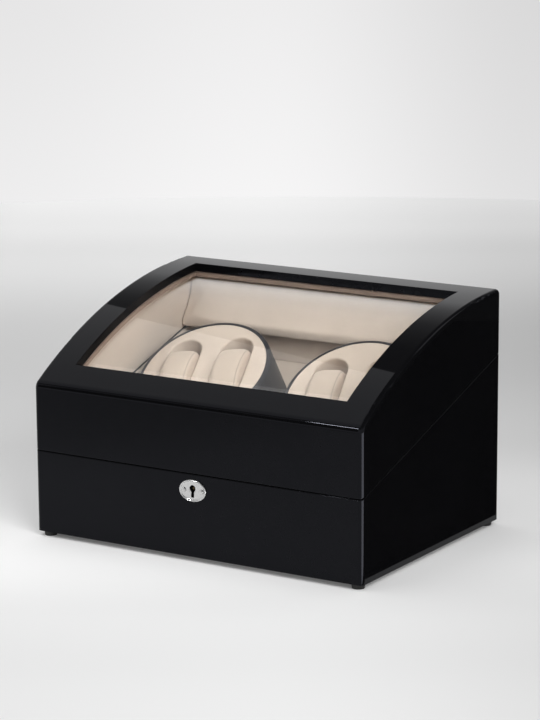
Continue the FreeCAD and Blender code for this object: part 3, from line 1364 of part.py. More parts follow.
def export_all():
    """Stop on any failed object, then write one file for each node."""
    failed = [thing.Label for thing in doc.Objects if {"Invalid", "Error"} & set(thing.State)]
    failed += [label for label, thing in NODES.items() if thing.Shape.isNull() or not thing.Shape.isValid()]
    if failed:
        raise RuntimeError(f"failed objects: {failed}")
    os.makedirs("parts", exist_ok=True)
    for label, thing in NODES.items():
        thing.Shape.exportStep(f"parts/{label}.step")
        print(label, len(thing.Shape.Solids), round(thing.Shape.Volume))


build_all()
doc.recompute()
export_all()
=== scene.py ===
# %% [markdown]
# # A watch winder box
# This lesson dresses a black lacquered box with a curved glass lid. Under the glass two drums turn slowly,
# and each drum has two velvet pockets with a soft pillow in them. The CAD model already gives every size,
# place and joint, so it is loaded first as a fixed frame. Drawing the box again by eye would be slower and
# less exact. What CAD leaves out is made here: finishes, soft forms, small hardware, light and a camera.

# %% Load the frame
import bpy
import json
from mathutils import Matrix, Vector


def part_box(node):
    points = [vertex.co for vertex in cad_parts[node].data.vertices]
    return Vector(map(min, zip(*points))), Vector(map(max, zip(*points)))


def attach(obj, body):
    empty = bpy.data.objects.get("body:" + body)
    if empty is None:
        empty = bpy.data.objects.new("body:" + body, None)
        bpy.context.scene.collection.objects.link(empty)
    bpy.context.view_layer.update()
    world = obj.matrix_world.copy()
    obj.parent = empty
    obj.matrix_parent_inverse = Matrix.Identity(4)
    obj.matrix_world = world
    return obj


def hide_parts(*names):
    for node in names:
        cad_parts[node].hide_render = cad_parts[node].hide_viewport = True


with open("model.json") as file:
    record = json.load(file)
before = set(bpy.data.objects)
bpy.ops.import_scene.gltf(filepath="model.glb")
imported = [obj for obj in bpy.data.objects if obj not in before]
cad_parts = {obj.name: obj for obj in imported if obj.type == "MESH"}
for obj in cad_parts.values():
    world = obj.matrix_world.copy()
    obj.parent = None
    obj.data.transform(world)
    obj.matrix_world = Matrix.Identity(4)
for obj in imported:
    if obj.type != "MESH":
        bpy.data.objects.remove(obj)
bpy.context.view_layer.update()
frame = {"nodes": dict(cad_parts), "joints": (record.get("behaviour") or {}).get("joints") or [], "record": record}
nodes = frame["nodes"]
body_of = {node: body for body, members in frame["record"]["behaviour"]["bodies"].items() for node in members}

# %% [markdown]
# ## Camera
# A view is easier to match when the camera is placed by angles than when it is pushed about by hand. The
# picture was taken from the front right, a little above the lid, with a long lens and a very small roll.
# The three axes of the camera are worked out from those angles and written straight into its matrix.

# %% Camera
import math
import bpy
from mathutils import Matrix, Vector

MM = 0.001
VIEW_AZIMUTH = math.radians(32.09)
VIEW_ELEVATION = math.radians(12.41)
VIEW_ROLL = math.radians(-0.342)
VIEW_PLACE = Vector((1.3635, -2.17305, 0.7266))
FOCAL_LENGTH = 141.9
SENSOR_WIDTH = 36
FARTHEST_SEEN = 50


def new_object(name, data):
    """An object in the scene."""
    thing = bpy.data.objects.new(name, data)
    scene.collection.objects.link(thing)
    return thing


scene = bpy.context.scene
scene.view_settings.view_transform = "Standard"
backward = Vector((math.sin(VIEW_AZIMUTH) * math.cos(VIEW_ELEVATION),
                   -math.cos(VIEW_AZIMUTH) * math.cos(VIEW_ELEVATION),
                   math.sin(VIEW_ELEVATION)))
level = Vector((math.cos(VIEW_AZIMUTH), math.sin(VIEW_AZIMUTH), 0))
upward = backward.cross(level)
right = math.cos(VIEW_ROLL) * level + math.sin(VIEW_ROLL) * upward
top = math.cos(VIEW_ROLL) * upward - math.sin(VIEW_ROLL) * level
lens = bpy.data.cameras.new("camera")
lens.lens = FOCAL_LENGTH
lens.sensor_width = SENSOR_WIDTH
lens.clip_end = FARTHEST_SEEN
camera = new_object("camera", lens)
camera.matrix_world = Matrix.Translation(VIEW_PLACE) @ Matrix((right, top, backward)).transposed().to_4x4()
scene.camera = camera
print("camera at", [round(v, 3) for v in VIEW_PLACE])

# %% [markdown]
# ## Shader nodes
# Every finish here is a small tree of nodes. Written out link by link, such trees are long and hard to read, so a few
# helpers come first. They add a node, set what is a plain number and link what comes from another node.

# %% Shader nodes
def connect(tree, node, inputs):
    """Fills a node's inputs: another node's socket is linked, and anything else is set."""
    for socket, source in inputs.items():
        if isinstance(source, bpy.types.NodeSocket):
            tree.links.new(source, node.inputs[socket])
        else:
            node.inputs[socket].default_value = source


def add_node(tree, kind, inputs=None, **settings):
    """Adds a node with its settings and fills its inputs."""
    node = tree.nodes.new(kind)
    for name, setting in settings.items():
        setattr(node, name, setting)
    connect(tree, node, inputs or {})
    return node


def calculate(tree, operation, *numbers, **settings):
    """Result of one sum on numbers or sockets."""
    node = add_node(tree, "ShaderNodeMath", dict(enumerate(numbers)), operation=operation, **settings)
    return node.outputs["Value"]


def multiply_colours(tree, one, other):
    """Product of two colours."""
    return add_node(tree, "ShaderNodeVectorMath", {0: one, 1: other}, operation="MULTIPLY").outputs["Vector"]


def rescale(tree, value, low, high, old_low=0.0, old_high=1.0):
    """A value moved from an old range to a new one, and held within it."""
    return add_node(tree, "ShaderNodeMapRange", {"Value": value, "From Min": old_low, "From Max": old_high,
                                                 "To Min": low, "To Max": high}).outputs["Result"]


def place_nodes(tree, turn=(0, 0, 0), stretch=(1, 1, 1)):
    """Object coordinates, turned and stretched for a pattern."""
    here = add_node(tree, "ShaderNodeTexCoord").outputs["Object"]
    return add_node(tree, "ShaderNodeMapping", {"Vector": here, "Rotation": turn, "Scale": stretch}).outputs["Vector"]


def colour_ramp(tree, share, stops, interpolation="LINEAR"):
    """Colour that follows a share from nought to one, from (share, colour) pairs."""
    node = add_node(tree, "ShaderNodeValToRGB", {"Fac": share})
    ramp = node.color_ramp
    while len(ramp.elements) < len(stops):
        ramp.elements.new(0.5)
    for element, (position, colour) in zip(ramp.elements, stops):
        element.position = position
        element.color = (*colour, 1)
    ramp.interpolation = interpolation
    return node.outputs["Color"]


def ramp_along(tree, place, stops):
    """Grey that follows a place along a line, from (place, tone) pairs."""
    start, end = stops[0][0], stops[-1][0]
    share = rescale(tree, place, 0, 1, start, end)
    return colour_ramp(tree, share, [((at - start) / (end - start), (tone,) * 3) for at, tone in stops], "EASE")


def seen_directly(tree):
    """One where the eye meets a surface itself, in gloss or through glass; nought where it only gets light."""
    path = add_node(tree, "ShaderNodeLightPath").outputs
    total = path["Is Camera Ray"]
    for kind in ("Is Glossy Ray", "Is Transmission Ray"):
        total = calculate(tree, "ADD", total, path[kind], use_clamp=True)
    return calculate(tree, "MULTIPLY", total, calculate(tree, "LESS_THAN", path["Diffuse Depth"], 0.5))


def new_finish(name):
    """A material with its tree and its shader."""
    finish = bpy.data.materials.new(name)
    finish.use_nodes = True
    return finish, finish.node_tree, finish.node_tree.nodes["Principled BSDF"]


def clear_where(tree, shader, where):
    """Makes a finish clear where a socket is one."""
    clear = add_node(tree, "ShaderNodeBsdfTransparent")
    mix = add_node(tree, "ShaderNodeMixShader", {"Fac": where, 1: shader.outputs["BSDF"], 2: clear.outputs["BSDF"]})
    connect(tree, tree.nodes["Material Output"], {"Surface": mix.outputs["Shader"]})


print("helpers for shader nodes")

# %% [markdown]
# ## Floor
# The box stands on a round pale sheet. A sheet of one colour would need uneven light to look like the studio's, and
# that light would also change the box. So the studio's uneven light and the box's shade are painted into the sheet:
# one ramp along the view's direction, nearly white in front, greyer beside the box and pale again far behind, and one
# across it that paints shade at its sides. Far away a faint glow, which only the eye and reflections meet, lets the
# sheet melt into the backdrop. A little in front of the box the same glow is painted light over the box's shade.

# %% Floor
FLOOR_RADIUS = 1.96
FLOOR_CORNERS = 180
FLOOR_PAINTED_LIGHT_AND_SHADE = ((-1.5, 0.66), (-0.8, 0.74), (-0.42, 0.80), (-0.26, 0.83), (-0.08, 0.98), (0.12, 0.96), (0.35, 0.80),
               (0.70, 0.74), (1.45, 0.92), (1.96, 0.96))
FLOOR_GLOW_AND_PAINTED_LIGHT = ((-0.42, 0.02), (-0.12, 0.10), (0.25, 0.0), (0.9, 0.0), (1.45, 0.11), (1.7, 0.19), (1.96, 0.25))
FLOOR_PAINTED_SIDE_SHADE = ((-0.62, 0.66), (-0.36, 0.95), (-0.02, 1.0), (0.42, 0.74))
FLOOR_ROUGHNESS = 0.7
FLOOR_GLOSS = 0.1


def circle(radius, height, count=120):
    """Ring of points on a circle."""
    return [Vector((radius * math.cos(math.tau * k / count), radius * math.sin(math.tau * k / count), height))
            for k in range(count)]


def make_floor_with_painted_shade():
    """Pale paper with light and shade painted into its tone, along the depth of the picture and across it, and a glow.
    """
    paper, tree, shader = new_finish("floor_paper")
    place = add_node(tree, "ShaderNodeSeparateXYZ", {"Vector": place_nodes(tree, turn=(0, 0, -VIEW_AZIMUTH))}).outputs
    # Painted light and shade: the two ramps stand in for the studio's uneven light and the box's shade on the floor.
    tone = multiply_colours(tree, ramp_along(tree, place["Y"], FLOOR_PAINTED_LIGHT_AND_SHADE), ramp_along(tree, place["X"], FLOOR_PAINTED_SIDE_SHADE))
    # The glow is backdrop far away and painted light over the box's shade just in front of it.
    connect(tree, shader, {"Base Color": tone, "Roughness": FLOOR_ROUGHNESS, "Specular IOR Level": FLOOR_GLOSS,
                           "Emission Color": ramp_along(tree, place["Y"], FLOOR_GLOW_AND_PAINTED_LIGHT),
                           "Emission Strength": seen_directly(tree)})
    return paper


def make_plane(name, corners, finish):
    """One flat face through its corners."""
    mesh = bpy.data.meshes.new(name)
    mesh.from_pydata(corners, [], [tuple(range(len(corners)))])
    mesh.materials.append(finish)
    plane = new_object(name, mesh)
    return plane


make_plane("floor", circle(FLOOR_RADIUS, 0, FLOOR_CORNERS), make_floor_with_painted_shade())
print("round floor", 2 * FLOOR_RADIUS, "m across")

# %% [markdown]
# ## Studio light
# Polished lacquer shows the room more than its own colour, so the room is what has to be right. A large soft box
# hangs overhead, a smaller one stands at the front right, and the world gives an even fill. Seen directly, in gloss or
# through glass, the world is a pale cove that grows dim higher up, as in a studio whose ceiling is dark: that keeps
# the glass clear. Reflections alone meet a set of one-sided cards. Dark ones lie beside the box and stand behind and
# before it, because polished faces need something dark to mirror. Bright ones are the face of the soft box, with the
# slanting edge that the lid mirrors, and three that light up the rounded corner, the lid's front edge and the split.

# %% Light
COVE_TONES = ((0.0, (0.80, 0.805, 0.815)), (0.42, (0.92, 0.915, 0.918)), (0.455, (0.85, 0.845, 0.848)),
              (0.60, (0.97, 0.97, 0.975)), (0.715, (0.96, 0.96, 0.965)), (0.75, (0.55, 0.55, 0.555)),
              (0.80, (0.24, 0.24, 0.245)), (0.86, (0.09, 0.09, 0.095)))
COVE_SIDES = ((-0.1, 0.93), (0.0, 1.0), (0.1, 0.82))
FILL_STRENGTH = 0.52
SOFT_BOXES = {"soft_box": (Vector((-1.2, -0.55, 2.2)), Vector((-1.2, -0.55, 0)), 2.2, 16),
              "front_box": (Vector((1.75, -1.2, 1.4)), Vector((0, 0, 0.12)), 1.4, 35)}
CARDS = {
    "floor_card": (0.0, ((0.19, -0.13, 0.001), (1.2, -0.13, 0.001), (1.2, 1.3, 0.001), (0.19, 1.3, 0.001))),
    "standing_card": (0.02, ((0.3, 1.2, 0), (1.3, 0.45, 0), (1.3, 0.45, 0.95), (0.3, 1.2, 0.95))),
    "soft_box_face": (0.87, ((0.2, -1.65, 2.25), (-2.7, -1.65, 2.25), (-2.7, 2.19, 2.25), (0.2, -0.09, 2.25))),
    "corner_card": (6.2, ((0.185, -0.135, 0.002), (1.28, -0.82, 0.002), (1.40, 0.317, 0.002))),
    "edge_card": (60.0, ((-0.69, -1.22, 1.02), (-0.69, -1.16, 1.08), (-0.40, -1.16, 1.08), (-0.40, -1.22, 1.02))),
    "front_card": (0.0, ((-1.4, -1.6, 1.15), (-0.45, -1.6, 1.15), (-0.45, -1.6, 0.30), (-1.4, -1.6, 0.30))),
    "side_card": (1.0, ((0.75, 1.35, 0.9), (1.2, 0.95, 0.9), (0.95, 0.8, 1.65), (0.6, 1.15, 1.65))),
}
CARD_BLACK = (0.004, 0.004, 0.004, 1)
WHITE = (1, 1, 1, 1)


def make_cove():
    """World that is a pale cove to the eye and an even fill to the surfaces."""
    cove = bpy.data.worlds.new("cove")
    cove.use_nodes = True
    tree = cove.node_tree
    tree.nodes.clear()
    way = add_node(tree, "ShaderNodeTexCoord").outputs["Generated"]
    rise = add_node(tree, "ShaderNodeSeparateXYZ", {"Vector": way}).outputs["Z"]
    across = add_node(tree, "ShaderNodeVectorMath", {0: way, 1: level}, operation="DOT_PRODUCT").outputs["Value"]
    tone = multiply_colours(tree, colour_ramp(tree, rescale(tree, rise, 0, 1, -1), COVE_TONES),
                            ramp_along(tree, across, COVE_SIDES))
    seen = add_node(tree, "ShaderNodeBackground", {"Color": tone})
    fill = add_node(tree, "ShaderNodeBackground", {"Color": WHITE, "Strength": FILL_STRENGTH})
    mix = add_node(tree, "ShaderNodeMixShader", {"Fac": seen_directly(tree), 1: fill.outputs["Background"],
                                                 2: seen.outputs["Background"]})
    add_node(tree, "ShaderNodeOutputWorld", {"Surface": mix.outputs["Shader"]})
    return cove


scene.world = make_cove()
for name, (place, target, size, power) in SOFT_BOXES.items():
    light = bpy.data.lights.new(name, "AREA")
    light.size = size
    light.energy = power
    lamp = new_object(name, light)
    lamp.location = place
    lamp.rotation_euler = (target - place).to_track_quat("-Z", "Y").to_euler()
    lamp.visible_glossy = False
for name, (tone, corners) in CARDS.items():
    paint, tree, shader = new_finish(f"{name}_paint")
    connect(tree, shader, {"Base Color": CARD_BLACK, "Specular IOR Level": 0, "Emission Color": WHITE,
                           "Emission Strength": tone})
    clear_where(tree, shader, add_node(tree, "ShaderNodeNewGeometry").outputs["Backfacing"])
    card = make_plane(name, corners, paint)
    for kind in ("camera", "diffuse", "shadow", "transmission"):
        setattr(card, f"visible_{kind}", False)
print(len(SOFT_BOXES), "soft boxes and", len(CARDS), "cards")

# %% [markdown]
# ## Hard finishes
# Lacquer, plastics, metals and woods differ in numbers more than in kind: each has two close tones, a grain with a
# size and a direction, a range of roughness and a faint relief. So one function builds them all from noise in
# Object coordinates. Image textures would tie the finish to a file and to a good unwrap. Anything that is even
# all over, such as metal or the index of refraction, is set on the shader's own socket.

# %% Hard finishes
TONE_STOPS = (0.3, 0.7)
GRAIN_RANGE = (0.25, 0.75)
CLOUD_SHARE = 0.5
BRUSHED_METAL = dict(stretch=(0.2, 1, 1), Metallic=1.0)


def noise_node(tree, place, scale, detail=4):
    """Noise at a scale, read at a place."""
    return add_node(tree, "ShaderNodeTexNoise", {"Vector": place, "Scale": scale, "Detail": detail}).outputs["Fac"]


def blend_grains(tree, fine, broad, share):
    """Mixes a fine grain with broad clouds; share is the weight of the clouds."""
    return calculate(tree, "MULTIPLY_ADD", broad, share, rescale(tree, fine, 0, 1 - share))


def relief(tree, height, depth, strength=1.0):
    """Normal bumped by a height of some depth in metres."""
    bump = add_node(tree, "ShaderNodeBump", {"Strength": strength, "Distance": depth, "Height": height})
    return bump.outputs["Normal"]


def make_finish(name, tones, grain, roughness, depth, clouds=25, stretch=(1, 1, 1), **sockets):
    """Finish with two tones, a grain, a range of roughness and a relief."""
    finish, tree, shader = new_finish(name)
    place = place_nodes(tree, stretch=stretch)
    fine = noise_node(tree, place, grain)
    pattern = blend_grains(tree, fine, noise_node(tree, place, clouds), CLOUD_SHARE)
    connect(tree, shader, {"Base Color": colour_ramp(tree, pattern, list(zip(TONE_STOPS, tones))),
                           "Roughness": rescale(tree, pattern, *roughness, *GRAIN_RANGE),
                           "Normal": relief(tree, fine, depth)})
    connect(tree, shader, {socket.replace("_", " "): number for socket, number in sockets.items()})
    return finish


HARD_FINISHES = {
    "lacquer": (((0.0026, 0.0026, 0.0030), (0.0038, 0.0038, 0.0043)), 90, (0.02, 0.05), 0.002 * MM,
                dict(clouds=9, IOR=1.225, Specular_Tint=(0.81, 0.84, 1.0, 1))),
    "brown_wood": (((0.24, 0.17, 0.135), (0.38, 0.28, 0.225)), 700, (0.4, 0.6), 0.05 * MM, dict(stretch=(0.06, 1, 1))),
    "black_plastic": (((0.015, 0.015, 0.018), (0.024, 0.024, 0.028)), 1600, (0.38, 0.52), 0.01 * MM, dict(IOR=1.38)),
    "matte_black_plastic": (((0.018, 0.018, 0.019), (0.03, 0.03, 0.031)), 2600, (0.45, 0.62), 0.08 * MM, {}),
    "foot_rubber": (((0.012, 0.012, 0.012), (0.022, 0.022, 0.022)), 1800, (0.6, 0.8), 0.06 * MM, {}),
    "plain_board": (((0.06, 0.054, 0.05), (0.115, 0.10, 0.09)), 900, (0.6, 0.8), 0.08 * MM, dict(stretch=(0.15, 1, 1))),
    "raw_wood": (((0.42, 0.29, 0.16), (0.62, 0.47, 0.30)), 500, (0.55, 0.75), 0.1 * MM, dict(stretch=(1, 0.05, 0.05))),
    "felt": (((0.012, 0.012, 0.013), (0.035, 0.035, 0.036)), 2200, (0.9, 1.0), 0.4 * MM, dict(Sheen_Weight=0.3)),
    "nickel": (((0.56, 0.56, 0.56), (0.68, 0.68, 0.675)), 2400, (0.14, 0.26), 0.012 * MM, dict(Metallic=1.0)),
    "brass": (((0.60, 0.42, 0.15), (0.76, 0.57, 0.25)), 1200, (0.22, 0.38), 0.015 * MM, BRUSHED_METAL),
    "aged_brass": (((0.055, 0.042, 0.022), (0.11, 0.08, 0.04)), 900, (0.42, 0.6), 0.03 * MM, dict(Metallic=1.0)),
    "steel": (((0.46, 0.46, 0.47), (0.60, 0.60, 0.61)), 1500, (0.24, 0.40), 0.012 * MM, BRUSHED_METAL),
    "nylon": (((0.74, 0.72, 0.65), (0.84, 0.82, 0.76)), 900, (0.4, 0.55), 0.02 * MM, dict(Subsurface_Weight=0.1)),
    "circuit_green": (((0.01, 0.09, 0.03), (0.03, 0.16, 0.06)), 1400, (0.3, 0.45), 0.03 * MM, {}),
    "lead_sleeve": (((0.012, 0.012, 0.013), (0.022, 0.022, 0.024)), 1500, (0.4, 0.55), 0.03 * MM, {}),
}
finishes = {name: make_finish(name, *basics, **extras) for name, (*basics, extras) in HARD_FINISHES.items()}
print(len(finishes), "hard finishes")

# %% [markdown]
# ## Velvet
# Velvet is a short pile that leans one way or another where it has been brushed, so it has broad soft patches and
# grows pale towards its edges. Hair particles would be far too heavy for a whole box. Sheen on the shader gives
# the pale edges, broad noise gives the brushed patches, and a fine noise of under a millimetre gives the pile.
# On the pillows a seam runs along both sides, so their velvet also reads two attributes kept on the mesh. In the
# seam's groove the colour is darkened as painted shade.

# %% Velvet
PILE_GRAIN = 1300
BRUSH_GRAIN = 34
BRUSH_SHARE = 0.3
PILE_STOPS = (0.32, 0.68)
PILE_ROUGHNESS = (0.86, 1.0)
PILE_DEPTH = 0.4 * MM
PILE_STRENGTH = 0.55
SEAM_AT = 12.8 * MM
SEAM_WIDTH = 0.5 * MM
STITCH = 2.6 * MM
STITCH_DEPTHS = (0.35, 0.8)
SEAM_PAINTED_SHADE = 0.68
CREAM_TONES = ((0.565, 0.472, 0.39), (0.69, 0.582, 0.49))
PILLOW_TONES = ((0.54, 0.445, 0.362), (0.63, 0.525, 0.437))
VELVET_SHEEN = {"Specular IOR Level": 0.12, "Sheen Weight": 0.35, "Sheen Roughness": 0.4,
                "Sheen Tint": (1.0, 0.93, 0.86, 1)}


def kept_value(tree, name):
    """Reads a number kept on the mesh."""
    return add_node(tree, "ShaderNodeAttribute", attribute_name=name).outputs["Fac"]


def seam_groove(tree):
    """Depth of the stitched seam: nought beside it, and deeper between the stitches."""
    seam = calculate(tree, "COMPARE", kept_value(tree, "across"), SEAM_AT, SEAM_WIDTH)
    beat = calculate(tree, "PINGPONG", kept_value(tree, "along"), STITCH / 2)
    return calculate(tree, "MULTIPLY", seam, rescale(tree, beat, *STITCH_DEPTHS, 0, STITCH / 2))


def make_velvet(name, shade, cream, has_seam=False):
    """Short velvet, with a stitched seam on the pillows whose groove has painted shade."""
    velvet, tree, shader = new_finish(name)
    place = place_nodes(tree)
    pile = noise_node(tree, place, PILE_GRAIN, detail=3)
    pattern = blend_grains(tree, pile, noise_node(tree, place, BRUSH_GRAIN, detail=5), BRUSH_SHARE)
    colour = colour_ramp(tree, pattern, list(zip(PILE_STOPS, (shade, cream))))
    height = pile
    if has_seam:
        groove = seam_groove(tree)
        # Painted shade: the seam's colour darkens with the depth of its groove.
        dark = (*(tone * SEAM_PAINTED_SHADE for tone in shade), 1)
        colour = add_node(tree, "ShaderNodeMix", {"Factor": groove, "A": colour, "B": dark},
                          data_type="RGBA").outputs["Result"]
        height = calculate(tree, "SUBTRACT", pile, groove)
    connect(tree, shader, {"Base Color": colour, "Roughness": rescale(tree, pile, *PILE_ROUGHNESS),
                           "Normal": relief(tree, height, PILE_DEPTH, PILE_STRENGTH), **VELVET_SHEEN})
    return velvet


finishes["cream_velvet"] = make_velvet("cream_velvet", *CREAM_TONES)
finishes["pillow_velvet"] = make_velvet("pillow_velvet", *PILLOW_TONES, has_seam=True)
print("velvet pile", round(1 / PILE_GRAIN / MM, 2), "mm, brushed patches", round(1 / BRUSH_GRAIN / MM), "mm")

# %% [markdown]
# ## Glass
# The pane is real glass with two faces, so it bends and mirrors by itself. A pure glass shader would throw a hard
# black shadow on the velvet, as light that is bent is hard to trace. For shadow rays alone the pane is therefore
# clear. A trace of unevenness in its roughness is what fingers and dust leave on a lid that is opened by hand.

# %% Glass
GLASS_SOCKETS = {"Base Color": (0.985, 0.992, 0.988, 1), "Transmission Weight": 1.0, "IOR": 1.45}
SMEAR_GRAIN = 60
SMEAR_STRETCH = (1, 0.35, 1)
SMEAR_RANGE = (0.5, 0.85)
SMEAR_ROUGHNESS = 0.03


def make_glass():
    """Clear pane that lets light through to the velvet."""
    glass, tree, shader = new_finish("lid_glass")
    smears = noise_node(tree, place_nodes(tree, stretch=SMEAR_STRETCH), SMEAR_GRAIN)
    connect(tree, shader, {"Roughness": rescale(tree, smears, 0, SMEAR_ROUGHNESS, *SMEAR_RANGE), **GLASS_SOCKETS})
    clear_where(tree, shader, add_node(tree, "ShaderNodeLightPath").outputs["Is Shadow Ray"])
    return glass


finishes["lid_glass"] = make_glass()
for node in nodes.values():
    for slot in node.material_slots:
        slot.material = finishes[slot.material.name.split(".")[0]]
for inner in ("lock_case", "lock_bolt"):
    nodes[inner].material_slots[0].material = finishes["aged_brass"]
print(len(finishes), "finishes on", len(nodes), "nodes")

# %% [markdown]
# ## Linings
# The walls are lined with thin boards wrapped in velvet. A wrapped board has no sharp edge, as the cloth turns over
# it. Modelling each board again would repeat the CAD sizes, so a copy of its mesh is taken, its loose triangles are
# merged, flat faces are joined up, and the edges that are left are rounded over by a bevel.

# %% Linings
import bmesh

MERGE_DISTANCE = 0.002 * MM
FLAT_ANGLE = math.radians(1)
LINING_ROUND = 0.9 * MM
LININGS = ("base_front_lining", "base_back_lining", "base_side_linings", "deck_panel",
           "lid_front_lining", "lid_side_linings")


def joined_copy(node):
    """A working copy of a CAD node with its loose triangles joined."""
    work = bmesh.new()
    work.from_mesh(nodes[node].data)
    bmesh.ops.remove_doubles(work, verts=work.verts, dist=MERGE_DISTANCE)
    return work


def merged_copy(node):
    """A working copy of a CAD node whose flat faces are joined up too."""
    work = joined_copy(node)
    bmesh.ops.dissolve_limit(work, angle_limit=FLAT_ANGLE, verts=work.verts, edges=work.edges)
    return work


def finish_mesh(work, name, sharp=40):
    """Mesh from a working copy, smooth but for edges sharper than an angle."""
    mesh = bpy.data.meshes.new(name)
    work.to_mesh(mesh)
    work.free()
    mesh.shade_smooth()
    mesh.set_sharp_from_angle(angle=math.radians(sharp))
    return mesh


def add_piece(name, mesh, slot, body, *replaced):
    """Puts a mesh in the scene as a piece that rides on a body and stands for CAD nodes."""
    if not mesh.materials:
        mesh.materials.append(finishes[slot])
    piece = new_object(name, mesh)
    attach(piece, body)
    if replaced:
        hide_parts(*replaced)
    print(name, len(mesh.polygons), "faces")
    return piece


def round_edges(work, width, steps=3, angle=30):
    """Rounds every edge of a working copy that is sharper than an angle."""
    sharp = [edge for edge in work.edges if edge.calc_face_angle(0) > math.radians(angle)]
    bmesh.ops.bevel(work, geom=sharp, offset=width, segments=steps, profile=0.5, affect="EDGES",
                    clamp_overlap=True)


for lining in LININGS:
    board = merged_copy(lining)
    round_edges(board, LINING_ROUND)
    add_piece(f"velvet_{lining}", finish_mesh(board, lining), "cream_velvet", body_of[lining], lining)

# %% [markdown]
# ## Floor pad
# In front of the deck the bottom of the box has a thin pad. Its cloth is drawn down at the border and stands a little
# higher in the middle. A cloth simulation would be wasted on two millimetres, so a grid is crowned by a formula.

# %% Floor pad
PAD_BORDER = 6 * MM
PAD_CROWN = 1.2 * MM


def crowned_pad(low, high, crown, columns=64, rows=12):
    """Closed pad whose top is low at its border and full in the middle."""
    work = bmesh.new()
    size, middle = high - low, (low + high) / 2
    for height in (low.z, high.z):
        place = Matrix.Translation((middle.x, middle.y, height)) @ Matrix.Diagonal((size.x, size.y, 1, 1))
        bmesh.ops.create_grid(work, x_segments=columns, y_segments=rows, size=0.5, matrix=place)
    bmesh.ops.bridge_loops(work, edges=[edge for edge in work.edges if edge.is_boundary])
    for vertex in work.verts:
        if vertex.co.z > middle.z:
            inset = min(size.x / 2 - abs(vertex.co.x - middle.x), size.y / 2 - abs(vertex.co.y - middle.y))
            vertex.co.z -= crown * (1 - min(inset / PAD_BORDER, 1)) ** 3
    bmesh.ops.recalc_face_normals(work, faces=work.faces)
    return work


pad = crowned_pad(*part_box("floor_lining"), PAD_CROWN)
floor_pad = add_piece("floor_pad", finish_mesh(pad, "floor_pad"), "cream_velvet", "case", "floor_lining")

# %% [markdown]
# ## Drum faces
# Each drum is closed by a velvet disc with two long pockets. The velvet runs over the lip of each pocket in a small
# round and down its walls in one piece. Cutting the pockets with a Boolean would leave hard rims, so the sheet is
# skinned from rings instead: rings down each pocket, rings round the rim, and one flat fill between them. A
# Solidify then gives the sheet its thickness, behind the side that shows.

# %% Drum faces
FACE_RADIUS = 63 * MM
FACE_ROUND = 1.2 * MM
POCKET_WIDTH = 33 * MM
POCKET_LENGTH = 87 * MM
POCKET_PLACE = 26.8 * MM
POCKET_DEPTH = 36 * MM
POCKET_LIP = 1.8 * MM
POCKET_WALL_STEPS = (0.3, 0.6, 0.9)
POCKET_FLOOR_LEVEL = 0.99
POCKET_FLOOR_ROUND = 3 * MM
FACE_WALL = 1.3 * MM
FACE_SKIRT = 2.6 * MM
DRUM_TURN = math.radians(11.5)


def joint_named(name):
    """A joint of the frame."""
    return next(joint for joint in frame["joints"] if joint["name"] == name)


def drum_frame(side):
    """Matrix from a drum's own axes, with its face at zero and its pockets upright, to the box."""
    joint = joint_named(f"{side}_drum_spin")
    axis = Vector(joint["axis"]).normalized()
    across = Vector((1, 0, 0))
    turned = Matrix((across, axis.cross(across), axis)).transposed().to_4x4()
    return Matrix.Translation(joint["pos_m"]) @ turned @ Matrix.Rotation(DRUM_TURN, 4, "Z")


def pocket_ring(middle, grow, height, steps=20):
    """Ring of points round a pocket, a slot with round ends, grown by a margin."""
    reach = (POCKET_LENGTH - POCKET_WIDTH) / 2
    radius = POCKET_WIDTH / 2 + grow
    ring = []
    for end in (0, 1):
        for step in range(steps + 1):
            angle = math.pi * (end + step / steps)
            ring.append(Vector((middle + radius * math.cos(angle),
                                reach * (1 - 2 * end) + radius * math.sin(angle), height)))
    return ring


def skin(work, rings, closed=False):
    """Quads from ring to ring, and back to the first ring if closed; gives the rings of vertices."""
    loops = [[work.verts.new(point) for point in ring] for ring in rings]
    for lower, upper in zip(loops, loops[1:] + loops[:closed]):
        for index in range(len(lower)):
            following = (index + 1) % len(lower)
            work.faces.new((lower[index], lower[following], upper[following], upper[index]))
    return loops


def loop_edges(work, loop):
    """Edges round a loop of vertices, made where they are missing."""
    pairs = zip(loop, loop[1:] + loop[:1])
    return [work.edges.get(pair) or work.edges.new(pair) for pair in pairs]


def round_profile(radius, steps=5):
    """Steps of a quarter round as (growth, drop) pairs, from the flat to the wall."""
    turns = [math.pi / 2 * step / steps for step in range(steps + 1)]
    return [(radius * (1 - math.sin(turn)), radius * (1 - math.cos(turn))) for turn in turns]


def drum_face():
    """Velvet sheet over a disc with two pockets, open at its back."""
    work = bmesh.new()
    rim = [circle(FACE_RADIUS - grow, -drop) for grow, drop in reversed(round_profile(FACE_ROUND))]
    rim = [circle(FACE_RADIUS, -FACE_SKIRT)] + rim + [circle(FACE_RADIUS - 3 * FACE_ROUND, 0)]
    borders = loop_edges(work, skin(work, rim)[-1])
    way_in = [(2 * POCKET_LIP, 0)] + [(grow, -drop) for grow, drop in round_profile(POCKET_LIP)]
    way_in += [(0, -share * POCKET_DEPTH) for share in POCKET_WALL_STEPS]
    way_in += [(-POCKET_FLOOR_ROUND, -POCKET_FLOOR_LEVEL * POCKET_DEPTH)]
    for middle in (-POCKET_PLACE, POCKET_PLACE):
        loops = skin(work, [pocket_ring(middle, grow, height) for grow, height in way_in])
        work.faces.new(loops[-1])
        borders += loop_edges(work, loops[0])
    bmesh.ops.triangle_fill(work, use_beauty=True, edges=borders)
    bmesh.ops.recalc_face_normals(work, faces=work.faces)
    if max(work.faces, key=lambda face: face.calc_center_median().z).normal.z < 0:
        bmesh.ops.reverse_faces(work, faces=work.faces)
    return work


